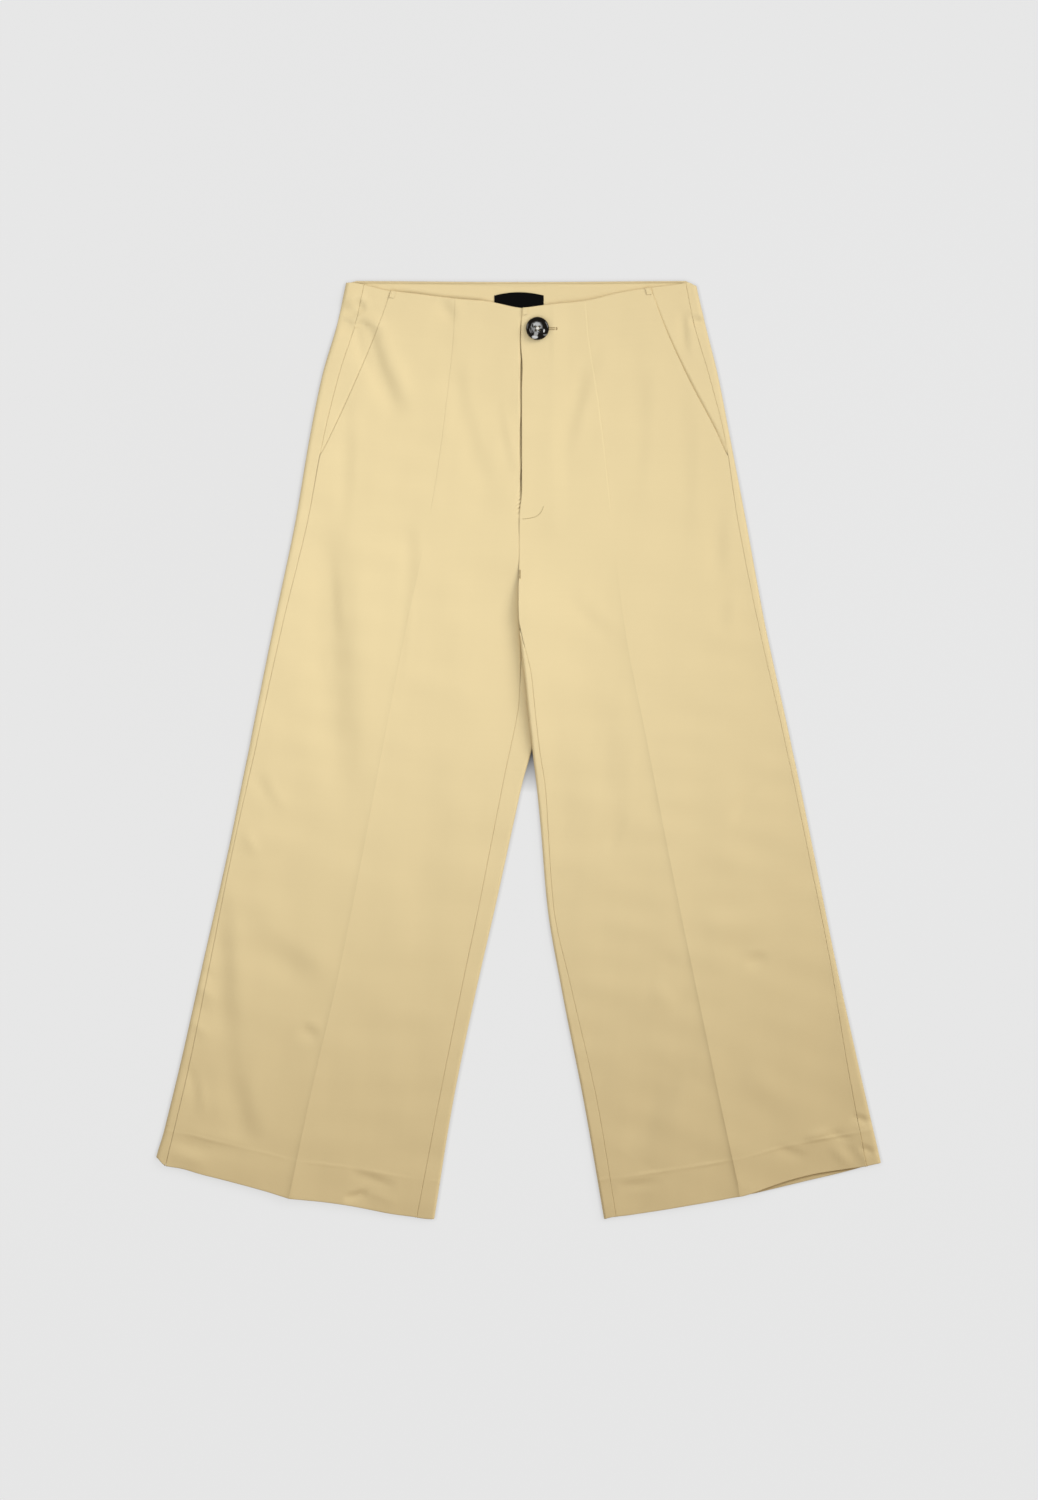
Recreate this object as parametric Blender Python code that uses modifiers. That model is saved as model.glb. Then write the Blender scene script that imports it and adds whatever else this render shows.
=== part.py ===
"""Women's wide-leg culottes, laid flat with the front up.

+X is the wearer's left, +Y runs up to the waist and +Z is up off the table.  The origin is under the
middle of the garment.  Every piece is worked out from where the seams and folds lie: "out" is a distance
from the centre front towards the side, and "station" is a distance down the inner leg from the waist.
Each leg's stations fan out below the crotch, because the hem rises towards the side.
"""

from collections import namedtuple
from math import cos, exp, hypot, pi, radians, sin

import bpy
import numpy as np

MM = 0.001

# Driving sizes, in mm
LENGTH = 900.0  # waist to the lowest corner of the hem
FAN_START = 450.0  # station where the leg's sections start to fan out
WAIST_BLEND = 120.0  # station where the dip of the waist line has died out
WALL = 1.2
HEM_WALL = 1.7  # the hem is turned up, so its cloth is double, less what fits round the folds
HEM_DEPTH = 37.0
SEAM_GAP = 0.3
LAYER_GAP = 0.35
LAP_STEP = WALL + LAYER_GAP  # how far a panel that laps over another is raised
LOFT = 4.4  # top of the upper layer over the table
LEAST_LOFT, MOST_LOFT = 3.4, 6.1
WAIST_LEAST_LOFT = 4.35  # room for the facing between the layers
WAIST_BULK, WAIST_BULK_DROP, WAIST_BULK_OUT = 1.7, 60.0, 90.0  # swell over the label and the fly's top
HEM_LOFT = 5.0
HEM_TOP = LENGTH - HEM_DEPTH
HEM_SWELL = 55.0  # stretch above the hem over which the layers part to take its double cloth

# The fly: the left front laps over an extension cut on to the right front
FLY_END = 232.0
EXTENSION = 27.0
FLY_FALL = (3.0, 22.0)  # the lap comes down between these distances past the extension
FLY_FALL_LENGTH = 22.0

# The crotch: the left leg's inner fold lies over the right leg's, which is pressed flatter.
# Each pair is where a change starts and ends, by station or by distance towards the wearer's left.
TUCK_LOFT = 3.3
TUCK_ON, TUCK_OFF, TUCK_ACROSS = (330, 362), (452, 500), (-36, -8)
LEG_LIFT = TUCK_LOFT + LAYER_GAP
LIFT_ON, LIFT_OFF, LIFT_ACROSS = (315, 364), (458, 510), (20, 58)
CURL = (345, 378)  # the back's inner edge turns up off the table and over between these
CUT_END_STEP = 0.06
FLAT_LENGTH = 14.0  # how much of the back lies flat at the centre where lower down it folds over
CROTCH_EASE = 0.9  # the seam opens this much where the cloth turns over
EASE_ON, EASE_OFF = (355, 367), (379, 392)

# The slant pocket and its facing
MOUTH_END = 167.0
POCKET_UNDERLAP = 15.0
POCKET_FACING_END = 173.0
POCKET_FALL = (3.0, 20.0)  # the front comes down between these distances past the facing's edge
POCKET_FALL_LENGTH = (4.0, 28.0)

# Inside the back waist
FACING_DEPTH = 45.0
FACING_HALF_WIDTH = 158.0
FACING_REVEAL = 0.8  # how far the facing stays below the waist edge
LABEL_WIDTH, LABEL_HEIGHT, LABEL_WALL = 46.0, 18.0, 1.0
LABEL_TOP = 11.0
LABEL_BOW = 3.0

# The button
BUTTON_OUT, BUTTON_DROP = 17.7, 46.1
BUTTON_HOLE_RADIUS, BUTTON_HOLE_OFFSET = 0.9, 1.75

# Sections of the panels
STATIONS = (
    0, 14, 30, 50, 75, 100, 120, 145, 167, 185, 205, 218, 232, 250, 275, 300, 322, 345, 357, 368, 378,
    390, 405, 420, 436, 452, 480, 515, 560, 610, 665, 720, 775, 825, 860, HEM_TOP, LENGTH,
)

Outer = namedtuple("Outer", "station side_fold side_seam crease")
Inner = namedtuple("Inner", "station front_edge back_edge")
Mouth = namedtuple("Mouth", "drop right left")
Waist = namedtuple("Waist", "out right left")
Rise = namedtuple("Rise", "share right left")
Fold = namedtuple("Fold", "x0 drop0 x1 drop1 x2 drop2 width rise")

# Where each leg's side fold, side seam and crease lie.  The crease is a stitched dart down to the hip.
OUTER_RIGHT = (
    Outer(0, 166.5, 149.3, 61.9),
    Outer(40, 175.0, 157.9, 63.2),
    Outer(90, 189.4, 172.7, 67.4),
    Outer(150, 202.1, 188.0, 74.1),
    Outer(230, 215.9, 204.7, 86.7),
    Outer(330, 236.6, 228.2, 107.6),
    Outer(450, 260.6, 253.5, 131.1),
    Outer(560, 280.6, 274.9, 152.1),
    Outer(680, 303.3, 296.3, 175.3),
    Outer(790, 324.7, 316.1, 199.4),
    Outer(900, 348.0, 339.0, 220.4),
)
OUTER_LEFT = (
    Outer(0, 170.4, 159.8, 63.8),
    Outer(40, 178.8, 167.5, 66.5),
    Outer(90, 191.5, 182.0, 72.8),
    Outer(150, 203.4, 197.2, 80.4),
    Outer(230, 218.5, 210.3, 89.2),
    Outer(330, 237.2, 230.8, 101.0),
    Outer(450, 263.6, 257.3, 122.8),
    Outer(560, 283.7, 277.6, 142.6),
    Outer(680, 305.3, 298.2, 165.8),
    Outer(790, 326.9, 315.0, 187.3),
    Outer(900, 348.0, 333.5, 210.4),
)

# front_edge is the fly edge or extension, the centre front seam and then the inseam.
# back_edge is the centre back seam and then the fold of the inner leg.
INNER_RIGHT = (
    Inner(0, -EXTENSION, 1.0),
    Inner(200, -EXTENSION, 1.0),
    Inner(228, 1.2, 1.0),
    Inner(262, 1.2, 1.0),
    Inner(300, 1.5, 1.0),
    Inner(322, 0.6, 1.0),
    Inner(345, -1.2, 0.8),
    Inner(357, -1.3, -1.0),
    Inner(368, -1.3, -2.4),
    Inner(378, -1.2, -7.5),
    Inner(390, -0.9, -12.0),
    Inner(405, 0.0, -15.5),
    Inner(420, 2.4, -17.2),
    Inner(436, 5.6, -15.6),
    Inner(452, 9.2, -11.8),
    Inner(480, 15.0, -3.8),
    Inner(520, 22.8, 5.1),
    Inner(600, 38.5, 22.9),
    Inner(680, 55.3, 41.4),
    Inner(790, 77.4, 63.8),
    Inner(900, 98.2, 79.7),
)
INNER_LEFT = (
    Inner(0, 2.6, -1.0),
    Inner(40, 1.0, -1.0),
    Inner(72, 2.8, -1.0),
    Inner(100, 1.6, -1.0),
    Inner(200, 1.8, -1.0),
    Inner(228, -1.2, -1.0),
    Inner(262, -1.2, -1.0),
    Inner(300, -1.5, -1.0),
    Inner(322, -0.6, -0.8),
    Inner(345, 1.2, 1.4),
    Inner(357, 2.6, 2.6),
    Inner(368, 4.0, 4.0),
    Inner(378, 12.4, 5.2),
    Inner(390, 13.2, 6.5),
    Inner(405, 14.4, 8.0),
    Inner(436, 17.9, 11.3),
    Inner(452, 20.0, 13.0),
    Inner(490, 25.6, 17.4),
    Inner(520, 27.4, 20.4),
    Inner(600, 33.0, 26.9),
    Inner(680, 50.1, 40.4),
    Inner(790, 74.9, 62.1),
    Inner(900, 93.0, 81.2),
)

# The pocket mouth, from the waist down to where it meets the side seam
MOUTH = (
    Mouth(0, 121.5, 125.5),
    Mouth(40, 135.4, 139.8),
    Mouth(90, 155.9, 162.1),
    Mouth(150, 183.3, 193.1),
    Mouth(MOUTH_END, 191.5, 199.8),
)

# Drop of the upper layer's waist edge, which dips to the fly, and of the back's
FRONT_WAIST = (
    Waist(-EXTENSION, 29.0, 29.0),
    Waist(0, 26.5, 27.0),
    Waist(32, 20.0, 23.0),
    Waist(63, 17.3, 19.5),
    Waist(97, 13.0, 11.5),
    Waist(125, 9.4, 6.8),
    Waist(152, 2.9, 3.2),
    Waist(170, 0.0, 0.0),
)
BACK_WAIST_DIP = 2.0

# How far the hem rises above its inner corner, by share of the way from the inner fold to the side fold
HEM_RISE = (
    Rise(0.0, 0.0, 0.0),
    Rise(0.06, 4.8, 4.8),
    Rise(0.50, 20.5, 20.5),
    Rise(0.95, 53.0, 50.4),
    Rise(1.0, 57.5, 53.0),
)
LEFT_FRONT_HEM_SHORT = 5.0  # the left front hem lies this much short of its back, outside the crease
SHORT_FROM, SHORT_TO = 0.5, 0.95

# The largest folds and swells of the upper layer: a curved line, how wide it spreads and how far it rises
FOLDS = (
    Fold(-146, 24, -131, 62, -110, 118, 13, -0.9),
    Fold(-178, 190, -176, 300, -150, 490, 22, -1.0),
    Fold(-133, 260, -130, 345, -118, 450, 26, 0.9),
    Fold(-283, 570, -276, 633, -262, 705, 14, -0.7),
    Fold(-250, 640, -222, 655, -190, 668, 15, -0.6),
    Fold(-275, 770, -258, 790, -243, 818, 16, -0.6),
    Fold(-18, 120, -15, 145, -11, 170, 12, -0.5),
    Fold(52, 130, 47, 152, 40, 178, 13, -0.6),
    Fold(121, 60, 118, 180, 124, 300, 20, -0.5),
    Fold(190, 190, 200, 250, 214, 310, 16, -0.5),
    Fold(165, 36, 167, 50, 169, 66, 12, -0.6),
    Fold(49, 300, 72, 318, 94, 348, 18, -0.5),
    Fold(170, 420, 192, 560, 220, 720, 30, 0.8),
    Fold(110, 520, 130, 640, 150, 760, 26, -0.5),
)
FOLD_PIECES = 12

CREASE_RIDGE, CREASE_SPREAD = 0.9, 5.0
DART_DEPTH = 0.5
DART_END, CREASE_START = 222.0, 262.0

# Points across a panel, as shares of the way between the two lines named
SIDE_TO_CREASE = (0.0, 0.07, 0.2, 0.36, 0.52, 0.68, 0.84, 0.96, 1.0)
CREASE_TO_EDGE = (0.04, 0.16, 0.32, 0.48, 0.64, 0.8, 0.93, 1.0)
STRIP_STEPS, ARC_STEPS, FLOOR_STEPS = 2, 6, 4

CLOTH_COLOUR = (0.72, 0.56, 0.31, 1.0)
FACING_COLOUR = (0.66, 0.51, 0.28, 1.0)
LABEL_COLOUR = (0.012, 0.012, 0.015, 1.0)
BUTTON_COLOUR = (0.02, 0.022, 0.026, 1.0)


def curve_through(knots, values):
    """A smooth line through a table's rows that never swings past a row's own value."""
    knots, values = np.array(knots, float), np.array(values, float)
    step = np.diff(knots)
    slope = np.diff(values) / step
    tangent = np.empty(len(knots))
    tangent[0], tangent[-1] = slope[0], slope[-1]
    before, after = slope[:-1], slope[1:]
    same_way = before * after > 0
    mean = 2 * before * after / np.where(same_way, before + after, 1.0)
    tangent[1:-1] = np.where(same_way, mean, 0.0)

    def at(place):
        place = min(max(place, knots[0]), knots[-1])
        i = min(int(np.searchsorted(knots, place, side="right")) - 1, len(step) - 1)
        t = (place - knots[i]) / step[i]
        return float(
            values[i] * (1 + 2 * t) * (1 - t) ** 2
            + tangent[i] * step[i] * t * (1 - t) ** 2
            + values[i + 1] * t * t * (3 - 2 * t)
            - tangent[i + 1] * step[i] * t * t * (1 - t)
        )

    return at


def columns(rows, first="station"):
    """One smooth curve for each column of a table, against its first column."""
    return {
        name: curve_through([getattr(row, first) for row in rows], [getattr(row, name) for row in rows])
        for name in rows[0]._fields
        if name != first
    }


def ease(value, start, end):
    """0 at start and 1 at end, smoothly."""
    t = min(max((value - start) / (end - start), 0.0), 1.0)
    return t * t * (3 - 2 * t)


def window(value, on, off):
    """Rises to 1 over the first pair and falls back to 0 over the second."""
    return ease(value, *on) * (1 - ease(value, *off))


def blend(a, b, share):
    return a + (b - a) * share


SIGN = {"right": -1.0, "left": 1.0}
LINES = {
    "right": {**columns(OUTER_RIGHT), **columns(INNER_RIGHT)},
    "left": {**columns(OUTER_LEFT), **columns(INNER_LEFT)},
}
MOUTH_OUT = columns(MOUTH, "drop")
FRONT_WAIST_DROP = columns(FRONT_WAIST, "out")
HEM_RISE_AT = columns(HEM_RISE, "share")


# --- where a point of the lay is ---


def share_across(side, station, out):
    lines = LINES[side]
    inner = lines["back_edge"](station)
    return min(max((out - inner) / (lines["side_fold"](station) - inner), 0.0), 1.0)


def drop_of(side, station, out, layer):
    """Distance below the waist of the point at this station and distance out, on the front or back layer."""
    fan = max((station - FAN_START) / (LENGTH - FAN_START), 0.0)
    share = share_across(side, station, out)
    if layer == "front":
        waist = FRONT_WAIST_DROP[side](out)
    else:
        waist = BACK_WAIST_DIP * (1 - ease(abs(out), 0.0, LINES[side]["side_fold"](0)))
    drop = station + waist * max(1 - station / WAIST_BLEND, 0.0) - fan * HEM_RISE_AT[side](share)
    if layer == "front" and side == "left" and SHORT_FROM < share < SHORT_TO:
        bow = sin(pi * (share - SHORT_FROM) / (SHORT_TO - SHORT_FROM))
        drop -= LEFT_FRONT_HEM_SHORT * bow * ease(station, LENGTH - 2 * HEM_DEPTH, LENGTH)
    return drop


# --- heights over the table ---


def fold_line(fold):
    """Points along a fold's curve, with how full the fold is at each: nothing at its ends."""
    points = []
    for i in range(FOLD_PIECES + 1):
        t = i / FOLD_PIECES
        x = fold.x0 * (1 - t) ** 2 + 2 * fold.x1 * t * (1 - t) + fold.x2 * t * t
        drop = fold.drop0 * (1 - t) ** 2 + 2 * fold.drop1 * t * (1 - t) + fold.drop2 * t * t
        points.append((x, drop, sin(pi * t) ** 0.5 if 0 < t < 1 else 0.0))
    return points


FOLD_LINES = [(fold, fold_line(fold)) for fold in FOLDS]


def folds_at(x, drop):
    """Sum of the soft folds at a point of the upper layer."""
    total = 0.0
    for fold, line in FOLD_LINES:
        nearest, fullness = min((hypot(x - px, drop - pdrop), full) for px, pdrop, full in line)
        total += fold.rise * fullness * exp(-((nearest / fold.width) ** 2))
    return total


def crease_at(side, station, out):
    """The pressed crease stands as a ridge down the leg, and the dart above it lies in a groove."""
    away = abs(out - LINES[side]["crease"](station))
    line = exp(-away / CREASE_SPREAD)
    turned = ease(station, DART_END, CREASE_START)
    return line * blend(-DART_DEPTH, CREASE_RIDGE, turned)


def leg_lift(side, x, station):
    """The left leg's inner side is raised where it lies over the right leg's."""
    if side == "right":
        return 0.0
    return LEG_LIFT * window(station, LIFT_ON, LIFT_OFF) * (1 - ease(x, *LIFT_ACROSS))


def top_at(side, station, out):
    """Height of the upper layer: the front panels and the backs' turned strips alike."""
    x = SIGN[side] * out
    drop = drop_of(side, station, out, "front")
    waist_bulk = WAIST_BULK * exp(-((drop / WAIST_BULK_DROP) ** 2) - (x / WAIST_BULK_OUT) ** 2)
    height = LOFT + waist_bulk + folds_at(x, drop) + crease_at(side, station, out)
    least = blend(WAIST_LEAST_LOFT, LEAST_LOFT, ease(drop, FACING_DEPTH + 5, FACING_DEPTH + 45))
    height = min(max(height, least), MOST_LOFT)
    hem = ease(station, HEM_TOP - HEM_SWELL, HEM_TOP)
    height = blend(height, max(height, HEM_LOFT), hem)
    if side == "right":
        tuck = window(station, TUCK_ON, TUCK_OFF) * ease(x, *TUCK_ACROSS)
        height = blend(height, TUCK_LOFT, tuck)
    return height + leg_lift(side, x, station)


def fly_raise(x, station):
    """The left front is raised over the fly extension."""
    across = 1 - ease(x - EXTENSION, *FLY_FALL)
    return LAP_STEP * across * (1 - ease(station, FLY_END, FLY_END + FLY_FALL_LENGTH))


def pocket_raise(side, station, out):
    """The front is raised over the pocket facing."""
    mouth = MOUTH_OUT[side](station)
    across = 1 - ease(mouth - POCKET_UNDERLAP - out, *POCKET_FALL)
    return LAP_STEP * across * (1 - ease(station - POCKET_FACING_END, *POCKET_FALL_LENGTH))


# --- building ---


def material(name, colour, roughness, metallic=0.0):
    made = bpy.data.materials.new(name)
    made.use_nodes = True
    shader = made.node_tree.nodes["Principled BSDF"]
    shader.inputs["Base Color"].default_value = colour
    shader.inputs["Roughness"].default_value = roughness
    shader.inputs["Metallic"].default_value = metallic
    made.diffuse_color = colour
    return made


def point(side, station, out, height, layer):
    """A point of the garment in metres."""
    drop = drop_of(side, station, out, layer)
    return SIGN[side] * out * MM, (LENGTH / 2 - drop) * MM, height * MM


def sheet(name, rows, wall, finish, turned=False, hem_from=None):
    """A wall of cloth whose outer face passes through the rows of points, thickened inwards."""
    if turned:
        rows = [row[::-1] for row in rows]
    across = len(rows[0])
    faces = []
    for r in range(len(rows) - 1):
        for c in range(across - 1):
            corner = r * across + c
            faces.append([corner, corner + across, corner + across + 1, corner + 1])
    mesh = bpy.data.meshes.new(name)
    mesh.from_pydata([place for row in rows for place in row], [], faces)
    mesh.materials.append(finish)
    mesh.shade_smooth()
    piece = bpy.data.objects.new(name, mesh)
    GARMENT.objects.link(piece)
    thickness = piece.modifiers.new("Wall", "SOLIDIFY")
    thickness.thickness = wall * MM
    thickness.offset = -1.0
    thickness.use_even_offset = True
    if hem_from is not None:
        group = piece.vertex_groups.new(name="hem")
        group.add(list(range(hem_from * across, len(rows) * across)), 1.0, "REPLACE")
        thickness.thickness = HEM_WALL * MM
        thickness.vertex_group = group.name
        thickness.thickness_vertex_group = wall / HEM_WALL
    return piece


def inner_gap(station):
    """Gap at the centre seam and inseam, a little wider where the cloth turns over at the crotch."""
    return SEAM_GAP + CROTCH_EASE * window(station, EASE_ON, EASE_OFF)


def front_outs(side, station):
    """Distances out of a front's points, from its pocket mouth or side seam to its inner edge."""
    lines = LINES[side]
    if station < MOUTH_END:
        outer = MOUTH_OUT[side](drop_of(side, station, MOUTH_OUT[side](station), "front"))
    else:
        outer = lines["side_seam"](station) - SEAM_GAP / 2
    crease = lines["crease"](station)
    inner = lines["front_edge"](station) + inner_gap(station) / 2
    outs = [blend(outer, crease, share) for share in SIDE_TO_CREASE]
    return outs + [blend(crease, inner, share) for share in CREASE_TO_EDGE]


def front_panel(side, finish):
    rows = []
    for station in STATIONS:
        row = []
        for out in front_outs(side, station):
            height = top_at(side, station, out) + pocket_raise(side, station, out)
            if side == "left":
                height += fly_raise(out, station)
            row.append(point(side, station, out, height, "front"))
        rows.append(row)
    return sheet("front_" + side, rows, WALL, finish, turned=side == "left", hem_from=STATIONS.index(HEM_TOP))


def folded_edge(fold_out, seam_out, radius, towards):
    """A fold seen along the leg, from the table up round the fold and in over the top to the seam.

    Each point is (distance out, height as a share of the fold's).  towards is +1 where the fold faces the
    side and -1 where it faces the other leg.  Where the seam is nearer to the fold than its radius, as at
    the crotch, the cloth ends half way up.
    """
    reach = towards * (fold_out - seam_out)
    turn = pi if reach > radius else pi / 2
    points = []
    for i in range(ARC_STEPS + 1):
        angle = turn * i / ARC_STEPS
        points.append((fold_out - towards * radius * (1 - sin(angle)), (1 - cos(angle)) / 2))
    end_out, end_share = points[-1]
    for i in range(1, STRIP_STEPS + 1):
        if turn == pi:
            points.append((blend(end_out, seam_out, i / STRIP_STEPS), end_share))
        else:
            points.append((end_out, end_share + i * CUT_END_STEP))
    return points


def back_section(side, station):
    """The back's outer face round one leg: side strip, side fold, table, inner fold and inner strip."""
    lines = LINES[side]
    lift = leg_lift(side, SIGN[side] * lines["back_edge"](station), station)
    side_seam = lines["side_seam"](station) + SEAM_GAP / 2
    side_fold = lines["side_fold"](station)
    side_radius = top_at(side, station, side_fold - LOFT / 2) / 2
    round_side = folded_edge(side_fold, side_seam, side_radius, 1.0)

    inner_fold = lines["back_edge"](station) + SEAM_GAP / 2
    inseam = lines["front_edge"](station) - inner_gap(station) / 2
    inner_top = top_at(side, station, inner_fold + LOFT / 2) - lift
    round_inner = folded_edge(inner_fold, inseam, inner_top / 2, -1.0)
    curl = ease(station, *CURL)

    places = []
    for out, share in reversed(round_side):
        if share == 1.0:
            height = top_at(side, station, out)
        else:
            height = share * 2 * side_radius
        places.append((out, height, "front"))
    floor_from, floor_to = places[-1][0], blend(inner_fold + FLAT_LENGTH, round_inner[0][0], curl)
    for i in range(1, FLOOR_STEPS):
        out = blend(floor_from, floor_to, i / FLOOR_STEPS)
        places.append((out, leg_lift(side, SIGN[side] * out, station), "back"))
    for i, (out, share) in enumerate(round_inner):
        flat_out = inner_fold + FLAT_LENGTH * (1 - i / (len(round_inner) - 1))
        out = blend(flat_out, out, curl)
        base = leg_lift(side, SIGN[side] * out, station)
        height = base + curl * share * inner_top
        if share == 1.0:
            height = blend(base, top_at(side, station, out), curl)
        places.append((out, height, "back" if station < CURL[0] else "front"))
    return [point(side, station, out, height, layer) for out, height, layer in places]


def back_panel(side, finish):
    rows = [back_section(side, station) for station in STATIONS]
    return sheet("back_" + side, rows, WALL, finish, turned=side == "right", hem_from=STATIONS.index(HEM_TOP))


def pocket_facing(side, finish):
    rows = []
    stations = [station for station in STATIONS if station < MOUTH_END] + [POCKET_FACING_END]
    for station in stations:
        outer = LINES[side]["side_seam"](station) - SEAM_GAP / 2
        mouth = MOUTH_OUT[side](station)
        inner = mouth - POCKET_UNDERLAP
        outs = [outer, blend(outer, mouth, 0.5), mouth, blend(mouth, inner, 0.5), inner]
        if station > MOUTH_END:
            outs = [blend(outer - SEAM_GAP, inner, i / 4) for i in range(5)]
        rows.append([point(side, station, out, top_at(side, station, out), "front") for out in outs])
    return sheet("pocket_facing_" + side, rows, WALL, finish, turned=side == "left")


def waist_facing(finish):
    """Lies inside the back waist, from one side fold to the other."""
    steps = 18
    rows = []
    for depth in (FACING_REVEAL, FACING_DEPTH * 0.3, FACING_DEPTH * 0.65, FACING_DEPTH):
        row = []
        for i in range(steps + 1):
            x = blend(-FACING_HALF_WIDTH, FACING_HALF_WIDTH, i / steps)
            side = "right" if x < 0 else "left"
            drop = depth + BACK_WAIST_DIP * (1 - ease(abs(x), 0.0, LINES[side]["side_fold"](0)))
            row.append((x * MM, (LENGTH / 2 - drop) * MM, (2 * WALL + LAYER_GAP) * MM))
        rows.append(row)
    return sheet("waist_facing_back", rows, WALL, finish)


def label(finish):
    """A woven label sewn flat on the facing, bowed a little by the waist's curve."""
    steps = 8
    top = (2 * WALL + 2 * LAYER_GAP + LABEL_WALL) * MM
    rows = []
    for share in (0.0, 0.5, 1.0):
        row = []
        for i in range(steps + 1):
            across = 2 * i / steps - 1
            drop = LABEL_TOP + LABEL_BOW * across**2 + LABEL_HEIGHT * share
            row.append((across * LABEL_WIDTH / 2 * MM, (LENGTH / 2 - drop) * MM, top))
        rows.append(row)
    return sheet("label", rows, LABEL_WALL, finish)


def button(finish):
    """A turned four-hole button with a rolled rim and a dished middle."""
    profile = [
        (0.0, 2.7), (5.3, 2.7), (6.1, 2.9), (6.9, 3.5), (7.8, 4.0), (8.8, 4.2), (9.9, 3.9), (10.7, 3.1),
        (11.1, 2.1), (10.8, 1.1), (9.9, 0.4), (8.4, 0.0), (0.0, 0.0),
    ]
    mesh = bpy.data.meshes.new("button")
    mesh.from_pydata(
        [(radius * MM, 0, height * MM) for radius, height in profile],
        [(i, i + 1) for i in range(len(profile) - 1)],
        [],
    )
    mesh.materials.append(finish)
    made = bpy.data.objects.new("button", mesh)
    GARMENT.objects.link(made)
    turning = made.modifiers.new("Turning", "SCREW")
    turning.steps = turning.render_steps = 32
    turning.use_merge_vertices = True
    turning.merge_threshold = 0.00005
    turning.use_smooth_shade = True
    under_rim = [
        front_height(BUTTON_OUT + 10 * cos(radians(turn)), BUTTON_DROP + 10 * sin(radians(turn)))
        for turn in range(0, 360, 30)
    ]
    seat = max(under_rim + [front_height(BUTTON_OUT, BUTTON_DROP)]) + SEAM_GAP
    made.location = (BUTTON_OUT * MM, (LENGTH / 2 - BUTTON_DROP) * MM, seat * MM)
    for i in range(4):
        turn = radians(45 + 90 * i)
        reach = BUTTON_HOLE_OFFSET * 2**0.5 * MM
        bpy.ops.mesh.primitive_cylinder_add(
            vertices=12, radius=BUTTON_HOLE_RADIUS * MM, depth=12 * MM,
            location=(
                made.location.x + reach * cos(turn), made.location.y + reach * sin(turn), made.location.z
            ),
        )
        drill = bpy.context.object
        drill.name = "button_hole_cutter_%d" % (i + 1)
        drill.hide_render = True
        drill.display_type = "WIRE"
        for home in list(drill.users_collection):
            home.objects.unlink(drill)
        CUTTERS.objects.link(drill)
        cut = made.modifiers.new("Hole %d" % (i + 1), "BOOLEAN")
        cut.operation = "DIFFERENCE"
        cut.solver = "EXACT"
        cut.object = drill
    return made


def front_height(x, drop):
    """Top of the left front at a point near the fly: its station is found by halving."""
    low, high = 0.0, WAIST_BLEND
    for _ in range(30):
        middle = (low + high) / 2
        if drop_of("left", middle, x, "front") < drop:
            low = middle
        else:
            high = middle
    return top_at("left", low, x) + fly_raise(x, low)


for old in list(bpy.data.objects):
    bpy.data.objects.remove(old, do_unlink=True)

GARMENT = bpy.data.collections.new("Culottes")
CUTTERS = bpy.data.collections.new("Cutters")
bpy.context.scene.collection.children.link(GARMENT)
bpy.context.scene.collection.children.link(CUTTERS)
CUTTERS.hide_render = True

CLOTH = material("cloth", CLOTH_COLOUR, 0.85)
FACING = material("facing", FACING_COLOUR, 0.85)

for leg in ("right", "left"):
    front_panel(leg, CLOTH)
    back_panel(leg, CLOTH)
    pocket_facing(leg, CLOTH)
waist_facing(FACING)
label(material("label", LABEL_COLOUR, 0.7))
button(material("button", BUTTON_COLOUR, 0.18))
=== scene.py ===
"""Women's wide-leg culottes laid flat with the front up: the looks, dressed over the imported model.

+X is the wearer's left, +Y runs up to the waist and +Z is up off the table, with the origin under the middle
of the garment.  Sizes are in mm and turn to metres where a mesh is made.  "out" is a distance from the centre
front towards the side and "station" a distance down the inner leg; a leg's stations fan out below the crotch.
"""

from collections import namedtuple

import bpy
import numpy as np
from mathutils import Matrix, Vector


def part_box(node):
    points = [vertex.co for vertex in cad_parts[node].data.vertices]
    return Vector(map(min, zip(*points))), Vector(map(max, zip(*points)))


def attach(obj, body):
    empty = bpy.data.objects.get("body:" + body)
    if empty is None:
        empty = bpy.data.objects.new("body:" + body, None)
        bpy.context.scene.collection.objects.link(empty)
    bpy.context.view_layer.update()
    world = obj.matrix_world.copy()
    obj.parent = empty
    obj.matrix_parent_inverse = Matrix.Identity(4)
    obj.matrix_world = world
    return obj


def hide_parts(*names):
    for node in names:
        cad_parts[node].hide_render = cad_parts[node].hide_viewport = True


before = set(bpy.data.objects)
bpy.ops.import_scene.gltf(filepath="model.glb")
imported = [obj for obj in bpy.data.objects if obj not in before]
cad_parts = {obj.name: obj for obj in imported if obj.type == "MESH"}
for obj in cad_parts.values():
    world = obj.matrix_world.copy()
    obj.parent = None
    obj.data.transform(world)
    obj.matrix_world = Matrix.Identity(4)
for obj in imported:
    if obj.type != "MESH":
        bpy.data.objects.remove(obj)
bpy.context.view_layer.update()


# --- the set ---
# A camera straight over the middle of the garment, as on a copy stand, that takes in 1.44 m along its long
# side; a pale table; a broad lamp over the waist end, a low soft one from the wearer's left and a fill.

CAMERA_HEIGHT, CAMERA_REACH = 4.0, 60.0
CAMERA_LENS, CAMERA_SENSOR = 100.0, 36.0
bpy.ops.object.select_all(action="DESELECT")
bpy.ops.object.camera_add(location=(0.0, 0.0, CAMERA_HEIGHT))
camera = bpy.context.object
camera.name = "overhead_camera"
camera.data.lens = CAMERA_LENS
camera.data.sensor_width = CAMERA_SENSOR
camera.data.clip_end = CAMERA_REACH
bpy.context.scene.camera = camera
bpy.context.scene.view_settings.view_transform = "Standard"

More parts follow.
